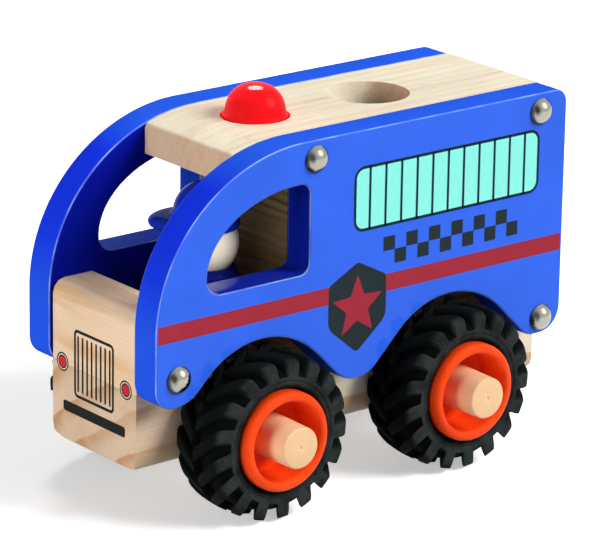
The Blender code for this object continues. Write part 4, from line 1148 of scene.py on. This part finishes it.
FLOOR_Z = -0.0002
reach = np.linspace(-4.0, 4.0, 9)
across, along = np.meshgrid(reach, reach, indexing="ij")
floor_points, floor_quads = grid(np.stack([across, along, np.full_like(across, FLOOR_Z)], -1))
floor_mesh = bpy.data.meshes.new("floor")
floor_mesh.from_pydata(floor_points.tolist(), [], floor_quads.tolist())
floor_mesh.materials.append(floor_paper())
floor = bpy.data.objects.new("floor", floor_mesh)
bpy.context.scene.collection.objects.link(floor)
print("floor faces up:", floor_mesh.polygons[0].normal.z > 0)


# %% Lamps
def add_lamp(name, kind, mirrored=False, **settings):
    """A lamp with its settings; unless it is mirrored, it leaves no highlight on gloss paint."""
    lamp_data = bpy.data.lights.new(name, kind)
    for key, value in settings.items():
        setattr(lamp_data, key, value)
    lamp_object = bpy.data.objects.new(name, lamp_data)
    lamp_object.visible_glossy = mirrored
    bpy.context.scene.collection.objects.link(lamp_object)
    return lamp_object


def shining_from(direction):
    return Vector(direction).to_track_quat("Z", "Y").to_euler()


def sun(name, towards, strength, angle, mirrored=False):
    """A soft lamp shining from a direction, with a share of full strength on a face square to it."""
    lamp_object = add_lamp(name, "SUN", mirrored, energy=strength * math.pi, angle=math.radians(angle))
    lamp_object.rotation_euler = shining_from(towards)
    return lamp_object


def aim(lamp_object, state, piece_name):
    """EXCLUDE is a flag held before the lamp, so that the piece stays dark; INCLUDE lights it alone."""
    receivers = bpy.data.collections.new("aim_of_" + lamp_object.name)
    receivers.objects.link(bpy.data.objects[piece_name])
    lamp_object.light_linking.receiver_collection = receivers
    receivers.collection_objects[0].light_linking.link_state = state


def reflector_card(shine, long=0.085, wide=0.30):
    """A white card lying before the bonnet: it lifts the front face, and the bonnet hides it from the cab."""
    energy = shine * math.pi * long * wide
    card = add_lamp("card", "AREA", shape="RECTANGLE", size=long, size_y=wide, energy=energy)
    card.location = (0.145, 0.0, 0.001)
    card.rotation_euler = (math.pi, 0.0, 0.0)
    card.visible_camera = False


def snoot(target, towards, strength, away=0.5, reach=0.011):
    """A narrow spot some way off that reaches the driver's head through the side window."""
    energy = strength * math.pi * 4.0 * math.pi * away**2
    cone = {"spot_size": 2.0 * math.atan(reach / away), "spot_blend": 1.0, "shadow_soft_size": 0.002}
    spot = add_lamp("snoot", "SPOT", energy=energy, **cone)
    direction = Vector(towards).normalized()
    spot.location = Vector(in_frame(target)) + direction * away
    spot.rotation_euler = shining_from(direction)


KEY_SIDE, BACK_SIDE = (-0.50, 0.66, 0.56), (-0.39, -0.50, 0.775)
sun("key", KEY_SIDE, 0.95, 30.0)
sun("key_glow", KEY_SIDE, 0.20, 40.0, mirrored=True)
sun("back", BACK_SIDE, 0.22, 14.0)
aim(sun("front", (0.99, 0.0, 0.10), 0.80, 30.0), "EXCLUDE", "cab_wall")
aim(sun("shine", BACK_SIDE, 2.0, 26.0, mirrored=True), "INCLUDE", "beacon_lamp")
reflector_card(0.25)
snoot((DRIVER_X, 0.0, HEAD_CENTRE), (0.30, 0.92, 0.18), 0.30)


# %% White world
def white_world(fill):
    """White to the camera, in mirrors and through glass; a weaker fill for everything else."""
    world = bpy.data.worlds.new("white_studio")
    bpy.context.scene.world = world
    world.use_nodes = True
    tree = world.node_tree
    background = tree.nodes["Background"]
    background.inputs["Color"].default_value = (1.0, 1.0, 1.0, 1.0)
    strength = node(tree, "MapRange", inputs=(seen_as_white(tree), 0.0, 1.0, fill, 1.0))
    tree.links.new(strength, background.inputs["Strength"])


white_world(0.13)
bpy.context.scene.view_settings.view_transform = "Standard"
print("world:", bpy.context.scene.world.name)

# %% Camera
RIGHT = Vector((-0.7797521, 0.6259042, 0.0151876))
UP = Vector((-0.1819446, -0.2497444, 0.9510646))
EYE = (0.82224, 1.01398, 0.49089)
SENSOR = 36.0
camera_data = bpy.data.cameras.new("camera")
camera_data.sensor_width = SENSOR
camera_data.lens = 4000.55 / 600.0 * SENSOR
camera_data.clip_end = 20.0
camera = bpy.data.objects.new("camera", camera_data)
turn_matrix = Matrix((RIGHT, UP, RIGHT.cross(UP))).transposed()
camera.matrix_world = Matrix.Translation(EYE) @ turn_matrix.to_4x4()
bpy.context.scene.collection.objects.link(camera)
bpy.context.scene.camera = camera
print("lens", round(camera_data.lens, 1), "mm")
